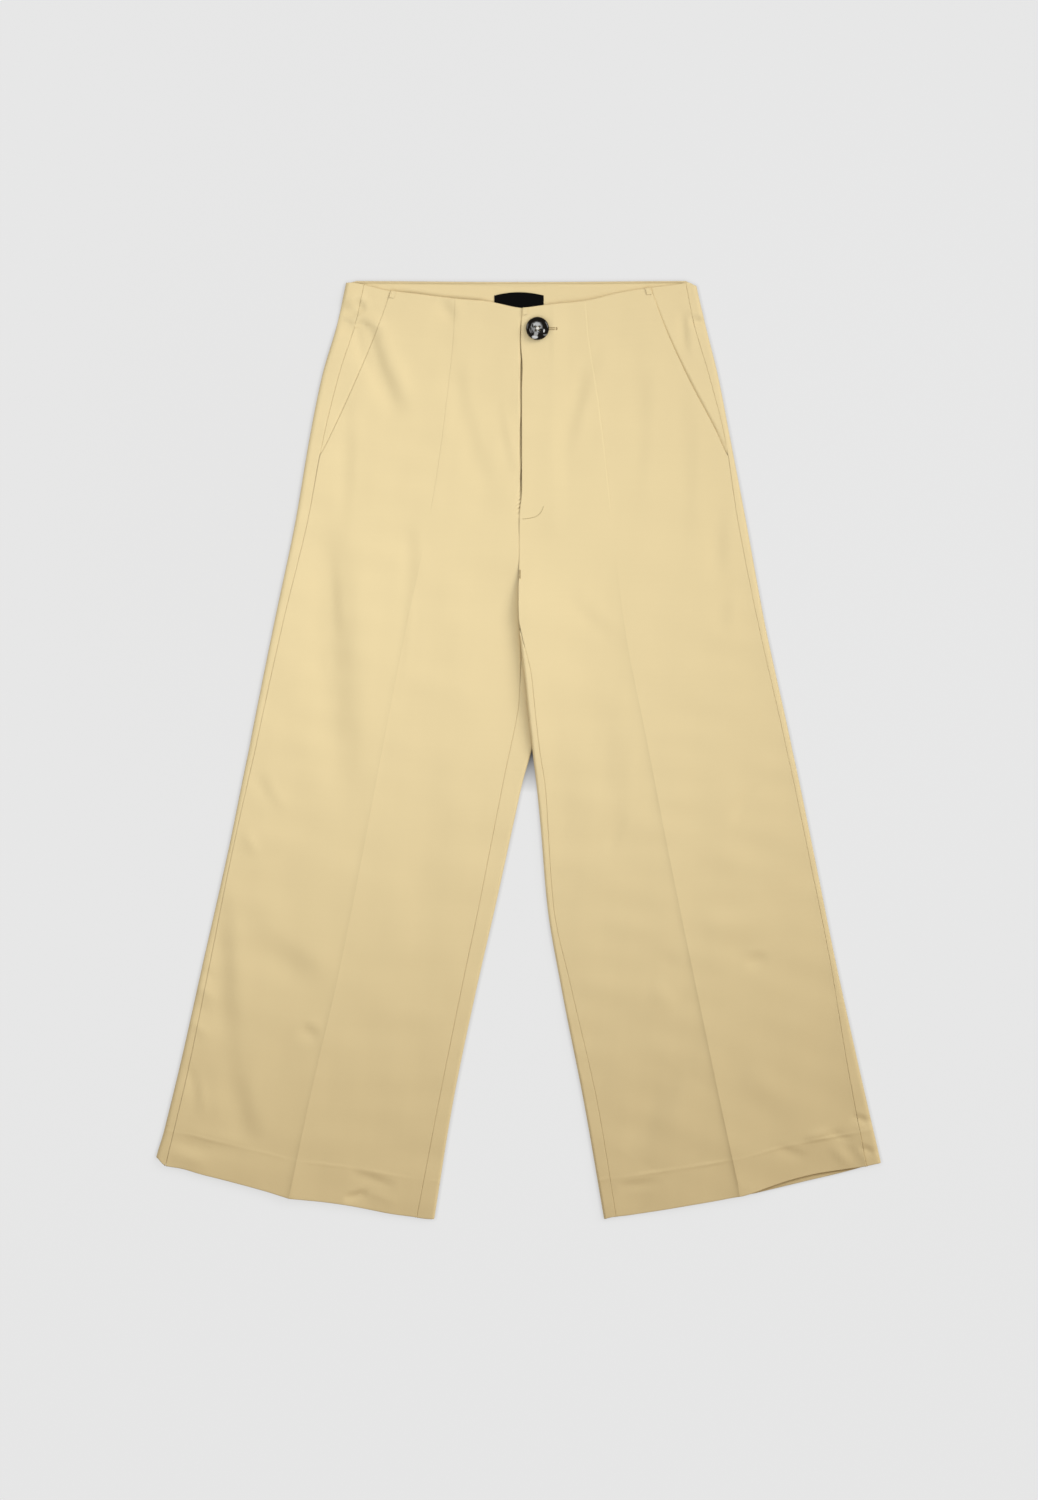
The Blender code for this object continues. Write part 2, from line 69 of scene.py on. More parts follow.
SOFTBOX_PLACE = (-0.17, 0.23, 0.52)
SOFTBOX_SIZE = (1.33, 0.87)
SOFTBOX_WATTS = 3.9
SOFTBOX_COLOUR = (1.0, 1.125, 1.28)
bpy.ops.object.light_add(type="AREA", location=SOFTBOX_PLACE)
softbox = bpy.context.object
softbox.name = "softbox"
softbox.data.shape = "RECTANGLE"
softbox.data.size, softbox.data.size_y = SOFTBOX_SIZE
softbox.data.energy = SOFTBOX_WATTS
softbox.data.color = SOFTBOX_COLOUR
softbox.visible_camera = False
softbox.visible_glossy = False

SIDE_LAMP_COLOUR = (1.0, 1.0, 1.0)
SIDE_LAMP_ELEVATION = 34.0
SIDE_LAMP_BEARING = 62.0
SIDE_LAMP_STRENGTH = 1.72
SIDE_LAMP_SOFTNESS = 30.0
bpy.ops.object.light_add(
    type="SUN",
    rotation=(np.radians(90.0 - SIDE_LAMP_ELEVATION), 0.0, np.radians(180.0 - SIDE_LAMP_BEARING)),
)
side_lamp = bpy.context.object
side_lamp.name = "side_lamp"
side_lamp.data.energy = SIDE_LAMP_STRENGTH
side_lamp.data.color = SIDE_LAMP_COLOUR
side_lamp.data.angle = np.radians(SIDE_LAMP_SOFTNESS)

FILL_STRENGTH = 0.31
FILL_COLOUR = (1.0, 0.80, 0.62, 1.0)
room = bpy.data.worlds.new("studio")
room.use_nodes = True
backdrop = room.node_tree.nodes["Background"]
backdrop.inputs["Color"].default_value = FILL_COLOUR
backdrop.inputs["Strength"].default_value = FILL_STRENGTH
bpy.context.scene.world = room

# The table is a light box: what it glows makes up for the softbox's fall-off.  Its glow is turned down close
# to the cloth as painted contact shade, and towards the narrow end of the gap between the legs as a painted
# shadow
TABLE_SIZE, TABLE_COLOUR = 30.0, (0.10, 0.10, 0.10, 1.0)
GLOW_FAR = (0.734, 0.741, 0.747, 1.0)
GLOW_NEAR = (0.671, 0.668, 0.663, 1.0)
GLOW_SPREAD, GLOW_FALL = (0.95, 0.80, 1.0), -2.0
CONTACT_SHADE, CONTACT_REACH = 0.5, 0.004
FORK, FORK_SHADOW_REACH = (0.0125, -0.0015, 0.0), 0.040


def shader_of(finish):
    return finish.node_tree.nodes["Principled BSDF"]


def new_finish(name, inputs):
    """A material, with values for some of its shader's inputs."""
    made = bpy.data.materials.new(name)
    made.use_nodes = True
    for socket, value in inputs.items():
        shader_of(made).inputs[socket].default_value = value
    return made


def add_node(finish, kind, inputs=None, **settings):
    """A node of a material, with its settings and with values for some of its inputs."""
    node = finish.node_tree.nodes.new("ShaderNode" + kind)
    for setting, value in settings.items():
        setattr(node, setting, value)
    for socket, value in (inputs or {}).items():
        node.inputs[socket].default_value = value
    return node


def wire(source, output, node, socket):
    """Joins a node's output to another node's input."""
    node.id_data.links.new(source.outputs[output], node.inputs[socket])


bpy.ops.mesh.primitive_plane_add(size=TABLE_SIZE)
table = bpy.context.object
table.name = "table_top"
table_paint = new_finish(
    "light_table", {"Base Color": TABLE_COLOUR, "Roughness": 1.0, "Specular IOR Level": 0.0}
)
where = add_node(table_paint, "TexCoord")
under_softbox = {"Location": (SOFTBOX_PLACE[0], SOFTBOX_PLACE[1], 0.0), "Scale": GLOW_SPREAD}
from_softbox = add_node(table_paint, "Mapping", under_softbox, vector_type="TEXTURE")
distance = add_node(table_paint, "VectorMath", operation="DOT_PRODUCT")
past_one = add_node(table_paint, "Math", {1: 1.0})
fall_off = add_node(table_paint, "Math", {1: GLOW_FALL}, operation="POWER")
glow = add_node(table_paint, "Mix", {"A": GLOW_FAR, "B": GLOW_NEAR}, data_type="RGBA")
wire(where, "Object", from_softbox, "Vector")
wire(from_softbox, "Vector", distance, 0)
wire(from_softbox, "Vector", distance, 1)
wire(distance, "Value", past_one, 0)
wire(past_one, "Value", fall_off, 0)
wire(fall_off, "Value", glow, "Factor")
# painted contact shade: the glow is turned down where the cloth is near
openness = add_node(table_paint, "AmbientOcclusion", {"Distance": CONTACT_REACH}, samples=8)
contact_painted_shade = add_node(table_paint, "MapRange", {"To Min": 1.0 - CONTACT_SHADE})
wire(openness, "AO", contact_painted_shade, "Value")
# painted shadow: the glow fades out towards the fork between the legs
from_fork = add_node(table_paint, "VectorMath", {1: FORK}, operation="DISTANCE")
fork_painted_shadow = add_node(table_paint, "MapRange", {"From Max": FORK_SHADOW_REACH})
dimmed = add_node(table_paint, "Math", operation="MULTIPLY")
wire(where, "Object", from_fork, 0)
wire(from_fork, "Value", fork_painted_shadow, "Value")
wire(contact_painted_shade, "Result", dimmed, 0)
wire(fork_painted_shadow, "Result", dimmed, 1)
wire(dimmed, "Value", shader_of(table_paint), "Emission Strength")
wire(glow, "Result", shader_of(table_paint), "Emission Color")
table.data.materials.append(table_paint)


# --- the backs ---
# Each back is one cut of straw-coloured cotton twill.  It lies flat on the table, is folded up round the side
# and the inner leg, and comes in over the top to its side seam and inseam; its hem is turned up.

MM = 0.001
LENGTH = 900.0
FAN_START = 450.0
WAIST_BLEND = 120.0
CLOTH = 0.55
SEAM_GAP = 0.1
FOLD_RADIUS, FOLD_STEPS = 0.64, 5
SEAM_ROLL, SEAM_TURN_IN, SEAM_RADIUS = np.radians(52), 0.2, 0.5
SEAM_REACH = SEAM_RADIUS * np.sin(SEAM_ROLL) + SEAM_TURN_IN * np.cos(SEAM_ROLL)
HEM_DEPTH = 37.0
LOFT, HEM_LOFT, HEM_BLEND = 4.9, 5.5, 55.0
LEAST_LOFT, WAIST_LEAST_LOFT, HEM_LEAST_LOFT, MOST_LOFT = 2.6, 3.35, 3.4, 9.0
OVER_FACING_DROP, OVER_FACING_OUT = (50.0, 90.0), (148.0, 158.0)
WAIST_BULK, WAIST_BULK_DROP, WAIST_BULK_OUT = 1.7, 60.0, 90.0
LEG_BULGE, BULGE_ON = 1.8, (380.0, 600.0)
HEM_TOP = LENGTH - HEM_DEPTH
BACK_WAIST_DIP = 1.0
WAIST_CORNER, CORNER_WIDTH, CORNER_LENGTH = {"right": 1.0, "left": 4.5}, 12.0, 45.0
BACK_WAIST_RADIUS, BACK_WAIST_TURN_IN = 0.8, 3.0

Outer = namedtuple("Outer", "station side_fold side_seam crease")
Inner = namedtuple("Inner", "station front_edge back_edge")
Waist = namedtuple("Waist", "out right left")
Rise = namedtuple("Rise", "share right left")
Press = namedtuple("Press", "station right left")
Fold = namedtuple("Fold", "x0 drop0 x1 drop1 x2 drop2 width rise tilt")

OUTER_RIGHT = (
    Outer(0, 165.8, 148.6, 61.9),
    Outer(40, 174.1, 157.2, 63.2),
    Outer(90, 188.6, 172.7, 67.4),
    Outer(150, 200.8, 187.5, 74.1),
    Outer(230, 214.4, 202.7, 86.7),
    Outer(330, 235.3, 226.9, 107.6),
    Outer(450, 259.2, 253.0, 131.1),
    Outer(560, 279.0, 274.9, 150.9),
    Outer(680, 302.8, 296.3, 173.9),
    Outer(790, 324.4, 316.1, 198.2),
    Outer(900, 348.0, 339.0, 220.4),
)
OUTER_LEFT = (
    Outer(0, 170.2, 159.8, 63.8),
    Outer(40, 178.4, 167.5, 66.5),
    Outer(90, 190.7, 182.0, 72.8),
    Outer(150, 202.4, 197.2, 80.4),
    Outer(230, 217.7, 209.8, 89.2),
    Outer(330, 236.1, 229.5, 101.0),
    Outer(450, 262.2, 256.5, 124.2),
    Outer(560, 282.4, 277.0, 144.5),
    Outer(680, 303.7, 298.2, 168.0),
    Outer(790, 325.0, 314.4, 189.8),
    Outer(900, 347.2, 333.0, 212.4),
)
EXTENSION = 27.0
INNER_RIGHT = (
    Inner(0, -EXTENSION, 1.0),
    Inner(200, -EXTENSION, 1.0),
    Inner(228, -0.1, 1.0),
    Inner(262, -0.1, 1.0),
    Inner(300, 0.6, 0.4),
    Inner(322, 0.6, -1.6),
    Inner(345, -1.2, -5.2),
    Inner(357, -1.6, -6.6),
    Inner(368, -1.6, -8.0),
    Inner(378, -1.2, -9.8),
    Inner(390, -0.9, -12.0),
    Inner(405, 0.0, -15.5),
    Inner(420, 2.4, -17.2),
    Inner(436, 5.6, -15.6),
    Inner(452, 9.2, -11.8),
    Inner(480, 15.0, -3.8),
    Inner(520, 22.8, 5.1),
    Inner(600, 38.5, 22.6),
    Inner(680, 55.3, 40.9),
    Inner(790, 77.4, 63.6),
    Inner(900, 98.2, 81.3),
)
INNER_LEFT = (
    Inner(0, 2.8, -1.0),
    Inner(40, 1.6, -1.0),
    Inner(72, 3.2, -1.0),
    Inner(100, 2.5, -1.0),
    Inner(200, 2.6, -1.0),
    Inner(228, 0.1, -1.0),
    Inner(262, 0.1, -1.0),
    Inner(300, -0.6, -1.0),
    Inner(322, -0.4, -0.9),
    Inner(335, 1.6, 0.2),
    Inner(345, 3.8, 1.2),
    Inner(357, 7.0, 2.6),
    Inner(368, 9.8, 4.0),
    Inner(378, 11.8, 5.2),
    Inner(390, 13.2, 6.5),
    Inner(405, 14.6, 8.0),
    Inner(436, 17.9, 11.3),
    Inner(452, 20.0, 13.0),
    Inner(490, 25.6, 17.4),
    Inner(520, 27.4, 20.4),
    Inner(600, 33.0, 27.2),
    Inner(680, 50.1, 40.9),
    Inner(790, 74.9, 62.6),
    Inner(900, 93.0, 81.6),
)
FRONT_WAIST = (
    Waist(-EXTENSION, 29.0, 29.0),
    Waist(0, 26.5, 27.0),
    Waist(32, 20.0, 23.0),
    Waist(63, 17.3, 19.5),
    Waist(97, 13.0, 11.5),
    Waist(125, 9.4, 6.8),
    Waist(152, 2.9, 3.2),
    Waist(170, 0.0, 0.0),
)
HEM_RISE = (
    Rise(0.00, 0.0, 0.0),
    Rise(0.03, 0.4, 2.1),
    Rise(0.08, 2.5, 3.6),
    Rise(0.15, 5.0, 6.4),
    Rise(0.23, 9.2, 9.8),
    Rise(0.31, 13.4, 13.4),
    Rise(0.40, 16.9, 17.5),
    Rise(0.47, 19.2, 21.1),
    Rise(0.53, 21.9, 23.7),
    Rise(0.60, 26.8, 28.1),
    Rise(0.68, 32.4, 33.3),
    Rise(0.76, 38.0, 38.4),
    Rise(0.84, 43.3, 43.3),
    Rise(0.91, 48.7, 48.1),
    Rise(0.96, 50.9, 51.8),
    Rise(1.00, 54.2, 54.0),
)
LEFT_FRONT_HEM_SHORT = 5.0
SHORT_FROM, SHORT_TO = 0.5, 0.95
BACK_HEM_RISE, BACK_HEM_RISE_LENGTH = 1.0, 25.0
HEM_POINT, HEM_POINT_WIDTH = {"right": 1.5, "left": 0.0}, 14.0
HEM_CORNER = {"right": 5.0, "left": 0.0}

# How high the pressed crease stands, below the dart that it goes on from
PRESSED = (
    Press(240, 0.0, 0.0),
    Press(300, 0.4, 0.3),
    Press(450, 0.5, 0.75),
    Press(700, 0.65, 1.05),
    Press(820, 0.9, 1.35),
    Press(900, 1.3, 1.75),
)
CREASE_STEEP, CREASE_SOFT = 2.8, 24.0

# How far each front stands above its back's strip along the side seam
SHOULDER = (
    Press(0, 0.15, 0.2),
    Press(230, 0.15, 0.3),
    Press(450, 0.2, 0.35),
    Press(700, 0.25, 0.6),
    Press(820, 0.3, 0.95),
    Press(900, 0.35, 1.15),
)
SHOULDER_WIDTH = 8.0
DART_END, DART_FADE = 222.0, 10.0
DART_DEPTH, DART_HALF_WIDTH = 0.08, 0.5
DART_STEP, DART_LAP_ON, DART_LAP_OFF = 0.2, (-0.4, 0.8), (2.0, 13.0)

# Folds of the upper layer: a curved line from its first point to its last, drawn towards the middle one, how
# wide it spreads, how far it stands up, and how far the cloth beside it on the +X or upper side stands up
FOLDS = (
    # the right hip and thigh
    Fold(-146, 24, -131, 62, -110, 118, 13, -0.5, 0.3),
    Fold(-150, 34, -132, 80, -108, 131, 8.5, -0.6, 3.3),
    Fold(-157, 15, -152, 22, -147, 30, 4, -1.2, 1.4),
    Fold(-176, 20, -164, 25, -152, 30, 8, -0.6, 3.4),
    Fold(-176, 34, -166, 40, -156, 45, 4.5, -1.3, 2.6),
    Fold(-160, 38, -147, 42, -130, 53, 6, -0.9, 2.1),
    Fold(-164, 102, -161, 165, -167, 240, 6, -0.3, 0.7),
    Fold(-175, 205, -180, 330, -155, 510, 16, -0.5, 3.1),
    Fold(-178, 255, -176, 300, -170, 350, 4, 0.0, 0.6),
    Fold(-104, 255, -107, 320, -115, 395, 4.5, -0.2, 0.3),
    Fold(-133, 260, -130, 345, -118, 450, 26, 0.8, 0.0),
    Fold(-63, 50, -57, 133, -21, 212, 8, -0.4, 0.7),
    Fold(-19, 110, -15, 157, -2, 190, 4.5, -0.2, 0.5),
    Fold(-75, 16, -67, 25, -61, 40, 6, -0.6, 1.1),
    Fold(-106, 233, -98, 262, -103, 302, 7, -0.3, 0.8),
    # the left hip and thigh
    Fold(60, 78, 62, 124, 38, 182, 7, -0.4, 0.85),
    Fold(81, 58, 67, 90, 57, 128, 7, -0.3, 0.6),
    Fold(116, 58, 123, 133, 113, 242, 8, -0.4, 0.6),
    Fold(160, 95, 166, 180, 163, 262, 8, -0.3, 0.7),
    Fold(159, 26, 158, 47, 161, 72, 4.5, -0.8, 1.0),
    Fold(162, 36, 173, 37, 185, 41, 3.4, -1.3, 1.4),
    Fold(200, 218, 190, 253, 196, 290, 8, -0.5, 1.3),
    Fold(203, 290, 194, 318, 198, 340, 7, -0.4, 0.9),
    Fold(48, 297, 64, 324, 100, 347, 8, -0.4, 0.55),
    Fold(121, 60, 118, 180, 124, 300, 22, -0.2, 0.0),
    Fold(31.2, 14, 31.2, 50, 31.2, 84, 2.2, 0.0, 0.2),
    Fold(12, 290, 14, 441, 46, 625, 12, 0.2, -0.5),
    Fold(78, 375, 103, 489, 85, 560, 12, -0.3, 0.6),
    # the right leg
    Fold(-250, 468, -243, 489, -227, 512, 5, -0.3, 0.7),
    Fold(-262, 528, -256, 540, -251, 553, 4.5, 0.9, 0.0),
    Fold(-76, 485, -86, 546, -70, 628, 22, -0.4, 0.7),
    Fold(-285, 560, -279, 655, -276, 755, 9, -0.5, 1.4),
    Fold(-275, 735, -266, 800, -250, 828, 10, -0.5, 1.2),
    Fold(-258, 622, -220, 646, -183, 672, 13, -0.4, 1.35),
    Fold(-208, 713, -200, 720, -191, 725, 5.5, -0.9, 0.9),
    Fold(-309, 659, -299, 663, -288, 674, 3, -0.45, 0.0),
    Fold(-311, 675, -300, 681, -290, 692, 3.5, 0.6, 0.0),
    Fold(-314, 692, -303, 697, -294, 707, 3, -0.35, 0.0),
    Fold(-317, 708, -306, 715, -298, 727, 3.5, 0.6, 0.0),
    Fold(-317, 752, -307, 767, -310, 801, 3.5, -0.4, 0.5),
    Fold(-326, 820, -290, 828, -254, 836, 6, -0.3, 0.5),
    Fold(-339, 829, -318, 837, -295, 843, 7, 0.5, -0.9),
    Fold(-306, 765, -300, 781, -302, 807, 3, 0.35, 0.0),
    Fold(-162, 855, -140, 860, -117, 869, 4.5, -0.8, 0.3),
    Fold(-148, 872, -133, 878, -117, 884, 4, 0.35, 0.0),
    Fold(-168, 879, -157, 877, -145, 873, 3.5, -1.2, 0.7),
    # the left leg
    Fold(229, 486, 217, 498, 207, 521, 5, -0.7, 0.5),
    Fold(105, 514, 95, 529, 84, 548, 4, -0.4, 0.3),
    Fold(166, 530, 185, 560, 208, 604, 16, -0.3, 0.35),
    Fold(162, 560, 188, 566, 219, 556, 18, -0.2, 0.2),
    Fold(176, 615, 214, 611, 252, 603, 13, 0.5, -0.8),
    Fold(216, 652, 228, 649, 238, 647, 5.5, -0.9, 0.9),
    Fold(126, 674, 137, 684, 148, 700, 10, 0.9, 0.0),
    Fold(133, 648, 142, 654, 155, 657, 6, -0.3, 0.0),
    Fold(162, 762, 137, 800, 112, 842, 14, -0.3, 2.0),
    Fold(203, 745, 232, 782, 264, 823, 12, -0.2, 0.65),
    Fold(94, 867, 115, 866, 138, 862, 4, -0.7, 0.5),
    Fold(246, 830, 260, 833, 277, 841, 4, -0.6, 0.5),
    Fold(275, 824, 285, 818, 300, 815, 4.5, 1.1, 0.0),
    Fold(296, 816, 310, 821, 321, 826, 4, -0.9, 0.0),
    Fold(310, 824, 320, 834, 330, 850, 3.5, -0.5, 0.3),
    Fold(298, 828, 308, 837, 317, 850, 4, 0.8, 0.0),
    Fold(319, 800, 329, 804, 340, 808, 3.4, -1.3, 0.6),
    Fold(326, 829, 334, 832, 342, 837, 3, -0.9, 0.6),
)
FOLD_PIECES, FOLD_REACH = 12, 3.6
FULLNESS, BLUNTNESS = 1.25, 0.9

# The cloth's slack: faint waves all over, each so many mm long and leaning its own way
SLACK_WAVES = 18
SLACK_LENGTHS = (16.0, 70.0)
SLACK_SLOPE = 0.011

# The crotch: the left leg's inner fold lies over the right leg's, which is pressed flatter
TUCK_LOFT = 2.0
TUCK_ON, TUCK_OFF, TUCK_ACROSS = (258, 315), (400, 500), (-60, -6)
LEG_LIFT = 5.8
LIFT_ON, LIFT_OFF, LIFT_ACROSS = (262, 318), (400, 530), (2, 74)

# The stations over which a back's inner side goes from flat, under the fly, to folded over to its inseam, and
# how far below them the inseam is turned in; above that its edge is hardly rolled
CURL = {"right": (335, 372), "left": (320, 337)}
FLAT_LENGTH = 14.0
INSEAM_BELOW, CUT_EDGE_ROLL = 12.0, 0.05

# How far the folds reach in plan; one that has less room than for the whole turn ends part of the way round
SIDE_REACH, INNER_REACH, TABLE_REACH = 4.4, 2.6, 3.0
LEAST_REACH, WHOLE_TURN, LAID_OVER = 0.8, 2.4, 0.999
SIDE_ARC, INNER_ARC = 14, 14
SIDE_STRIP, INNER_STRIP, ON_TABLE = 6, 8, 22


def smooth_line(knots, values):
    """The smooth curve through a table's rows that never swings past a row's own value."""
    knots, values = np.array(knots, float), np.array(values, float)
    step = np.diff(knots)
    slope = np.diff(values) / step
    before, after = slope[:-1], slope[1:]
    same_way = before * after > 0
    mean = 2 * before * after / np.where(same_way, before + after, 1.0)
    tangent = np.concatenate([slope[:1], np.where(same_way, mean, 0.0), slope[-1:]])

    def at(place):
        place = np.clip(place, knots[0], knots[-1])
        i = np.clip(np.searchsorted(knots, place, side="right") - 1, 0, len(step) - 1)
        t = (place - knots[i]) / step[i]
        return (
            values[i] * (1 + 2 * t) * (1 - t) ** 2
            + tangent[i] * step[i] * t * (1 - t) ** 2
            + values[i + 1] * t * t * (3 - 2 * t)
            - tangent[i + 1] * step[i] * t * t * (1 - t)
        )

    return at


def columns(rows, first="station"):
    """One smooth curve for each column of a table, against its first column."""
    return {
        name: smooth_line([getattr(row, first) for row in rows], [getattr(row, name) for row in rows])
        for name in rows[0]._fields
        if name != first
    }


def ease(value, start, end):
    """0 at start and 1 at end, smoothly."""
    t = np.clip((value - start) / (end - start), 0.0, 1.0)
    return t * t * (3 - 2 * t)


def window(value, on, off):
    """Rises to 1 over the first pair and falls back to 0 over the second."""
    return ease(value, *on) * (1 - ease(value, *off))


def blend(a, b, share):
    return a + (b - a) * share


SIGN = {"right": -1.0, "left": 1.0}
LEG = {
    "right": {**columns(OUTER_RIGHT), **columns(INNER_RIGHT)},
    "left": {**columns(OUTER_LEFT), **columns(INNER_LEFT)},
}
WAIST_DROP = columns(FRONT_WAIST, "out")
HEM_RISE_AT = columns(HEM_RISE, "share")
PRESSED_AT = columns(PRESSED)
SHOULDER_AT = columns(SHOULDER)


def share_across(side, station, out):
    """0 at a leg's inner edge and 1 at its side fold."""
    inner = LEG[side]["back_edge"](station)
    return np.clip((out - inner) / (LEG[side]["side_fold"](station) - inner), 0.0, 1.0)


def hem_bow(side, station, out):
    """1 in the middle of the stretch where the left front's hem lies short of the back's, and 0 elsewhere."""
    if side == "right":
        return np.zeros(np.broadcast(station, out).shape)
    share = share_across(side, station, out)
    return np.sin(np.pi * np.clip((share - SHORT_FROM) / (SHORT_TO - SHORT_FROM), 0.0, 1.0))


def back_waist_dip(side, out):
    """How far the back's waist edge lies below its corners."""
    return BACK_WAIST_DIP * (1 - ease(np.abs(out), 0.0, LEG[side]["side_fold"](0)))


def drop_of(side, station, out, layer):
    """Distance below the waist of a point, on the front or the back layer."""
    fan = np.maximum((station - FAN_START) / (LENGTH - FAN_START), 0.0)
    side_fold = LEG[side]["side_fold"](station)
    share = share_across(side, station, out)
    waist = WAIST_DROP[side](out) if layer == "front" else back_waist_dip(side, out)
    drop = station + waist * np.maximum(1 - station / WAIST_BLEND, 0.0) - fan * HEM_RISE_AT[side](share)
    corner = ease(out, side_fold - CORNER_WIDTH, side_fold) ** 2
    drop = drop + WAIST_CORNER[side] * corner * (1 - ease(station, 0.0, CORNER_LENGTH))
    drop = drop - HEM_CORNER[side] * corner * ease(station, HEM_TOP, LENGTH)
    from_crease = np.abs(out - LEG[side]["crease"](station))
    drop = drop + HEM_POINT[side] * np.exp(-from_crease / HEM_POINT_WIDTH) * ease(station, HEM_TOP, LENGTH)
    if layer == "front":
        short = LEFT_FRONT_HEM_SHORT * ease(station, LENGTH - 2 * HEM_DEPTH, LENGTH)
        drop = drop - short * hem_bow(side, station, out)
    return drop


def drawn(first, middle, last, share):
    """A place on the curve from first to last that is drawn towards middle."""
    return first * (1 - share) ** 2 + 2 * middle * share * (1 - share) + last * share**2


def folds_at(x, drop):
    """Sum of the soft folds at points of the upper layer."""
    total = np.zeros(x.shape)
    share = np.linspace(0.0, 1.0, FOLD_PIECES + 1)
    for fold in FOLDS:
        line_x = drawn(fold.x0, fold.x1, fold.x2, share)
        line_drop = drawn(fold.drop0, fold.drop1, fold.drop2, share)
        reach = FOLD_REACH * fold.width
        near = (x > line_x.min() - reach) & (x < line_x.max() + reach)
        near &= (drop > line_drop.min() - reach) & (drop < line_drop.max() + reach)
        if not near.any():
            continue
        at_x, at_drop = x[near], drop[near]
        nearest = np.full(at_x.shape, np.inf)
        beside = np.ones(at_x.shape)
        along = np.zeros(at_x.shape)
        for i in range(FOLD_PIECES):
            run_x, run_drop = line_x[i + 1] - line_x[i], line_drop[i + 1] - line_drop[i]
            from_x, from_drop = at_x - line_x[i], at_drop - line_drop[i]
            t = np.clip((from_x * run_x + from_drop * run_drop) / (run_x**2 + run_drop**2), 0.0, 1.0)
            off_x, off_drop = from_x - t * run_x, from_drop - t * run_drop
            distance = np.hypot(off_x, off_drop)
            closer = distance < nearest
            nearest = np.where(closer, distance, nearest)
            beside = np.where(closer, np.where(off_x * run_drop - off_drop * run_x < 0, -1.0, 1.0), beside)
            along = np.where(closer, (i + t) / FOLD_PIECES, along)
        away = beside * nearest / fold.width
        fullness = FULLNESS * np.sin(np.pi * along) ** BLUNTNESS
        total[near] += fullness * (fold.rise * np.exp(-(away**2)) + fold.tilt * away * np.exp(-(away**2) / 2))
    return total


slack_draw = np.random.default_rng(7)
SLACK_LENGTH = slack_draw.uniform(*SLACK_LENGTHS, SLACK_WAVES)
SLACK_LEAN = slack_draw.uniform(0, np.pi, SLACK_WAVES)
SLACK_START = slack_draw.uniform(0, 2 * np.pi, SLACK_WAVES)


def slack_at(x, drop):
    """Sum of the faint waves at points of the upper layer."""
    total = np.zeros(x.shape)
    for length, lean, start in zip(SLACK_LENGTH, SLACK_LEAN, SLACK_START):
        along = x * np.cos(lean) + drop * np.sin(lean)
        total += SLACK_SLOPE * length / (2 * np.pi) * np.sin(2 * np.pi * along / length + start)
    return total


def crease_at(side, station, out):
    """The dart's groove, its fullness laid to the centre, and below it the ridge of the pressed crease."""
    inward = LEG[side]["crease"](station) - out
    rightward = -SIGN[side] * inward
    sewn = 1 - ease(station, DART_END - DART_FADE, DART_END)
    groove = -DART_DEPTH * np.exp(-((inward / DART_HALF_WIDTH) ** 2))
    lap = DART_STEP * window(inward, DART_LAP_ON, DART_LAP_OFF)
    spread = np.where(rightward < 0, CREASE_STEEP, CREASE_SOFT)
    ridge = PRESSED_AT[side](station) * np.exp(-np.abs(rightward) / spread)
    return sewn * (groove + lap) + ridge


def leg_lift(side, x, station):
    """The left leg's inner side is raised where it lies over the right leg's."""
    if side == "right":
        return np.zeros(np.broadcast(x, station).shape)
    return LEG_LIFT * window(station, LIFT_ON, LIFT_OFF) * (1 - ease(x, *LIFT_ACROSS))


HEM_RIDGE, HEM_RIDGE_WIDTH = {"right": 0.14, "left": 0.32}, 1.8
HEM_STEP, HEM_STEP_WIDTH = 0.1, 1.5
CLOSE_PULL, CLOSE_LENGTH = 0.5, 9.0
WIDE_PULL, WIDE_LENGTH, WIDE_START = 0.35, 23.0, 1.0


def hem_line(side, station, out):
    """The turned-up hem stands out a little, most of all here and there where its upper edge is sewn down."""
    pulled = 1 + CLOSE_PULL * np.sin(out / CLOSE_LENGTH) + WIDE_PULL * np.sin(out / WIDE_LENGTH + WIDE_START)
    ridge = HEM_RIDGE[side] * pulled * np.exp(-(((station - HEM_TOP) / HEM_RIDGE_WIDTH) ** 2))
    return ridge + HEM_STEP * ease(station, HEM_TOP - HEM_STEP_WIDTH, HEM_TOP + HEM_STEP_WIDTH)


def top_of(side, station, out):
    """Height of the upper layer: the fronts and the backs' turned strips alike."""
    x = SIGN[side] * out
    drop = drop_of(side, station, out, "front")
    bulk = WAIST_BULK * np.exp(-((drop / WAIST_BULK_DROP) ** 2) - (x / WAIST_BULK_OUT) ** 2)
    hem = ease(station, HEM_TOP - HEM_BLEND, HEM_TOP)
    bulge = LEG_BULGE * ease(station, *BULGE_ON) * np.sin(np.pi * share_across(side, station, out))
    height = blend(LOFT, HEM_LOFT, hem) + bulk + bulge + folds_at(x, drop) + slack_at(x, drop)
    height = height + crease_at(side, station, out)
    over_facing = (1 - ease(drop, *OVER_FACING_DROP)) * (1 - ease(np.abs(x), *OVER_FACING_OUT))
    least = blend(LEAST_LOFT, WAIST_LEAST_LOFT, over_facing)
    height = np.clip(height, blend(least, HEM_LEAST_LOFT, hem), MOST_LOFT) + hem_line(side, station, out)
    if side == "right":
        tuck = window(station, TUCK_ON, TUCK_OFF) * ease(x, *TUCK_ACROSS)
        height = blend(height, TUCK_LOFT, tuck)
    return height + leg_lift(side, x, station)


def place(side, station, out, height, layer):
    """Points of the garment in mm, as one array."""
    drop = drop_of(side, station, out, layer)
    x, drop, height = np.broadcast_arrays(SIGN[side] * out, drop, height)
    return np.stack([x, LENGTH / 2 - drop, height], axis=-1)


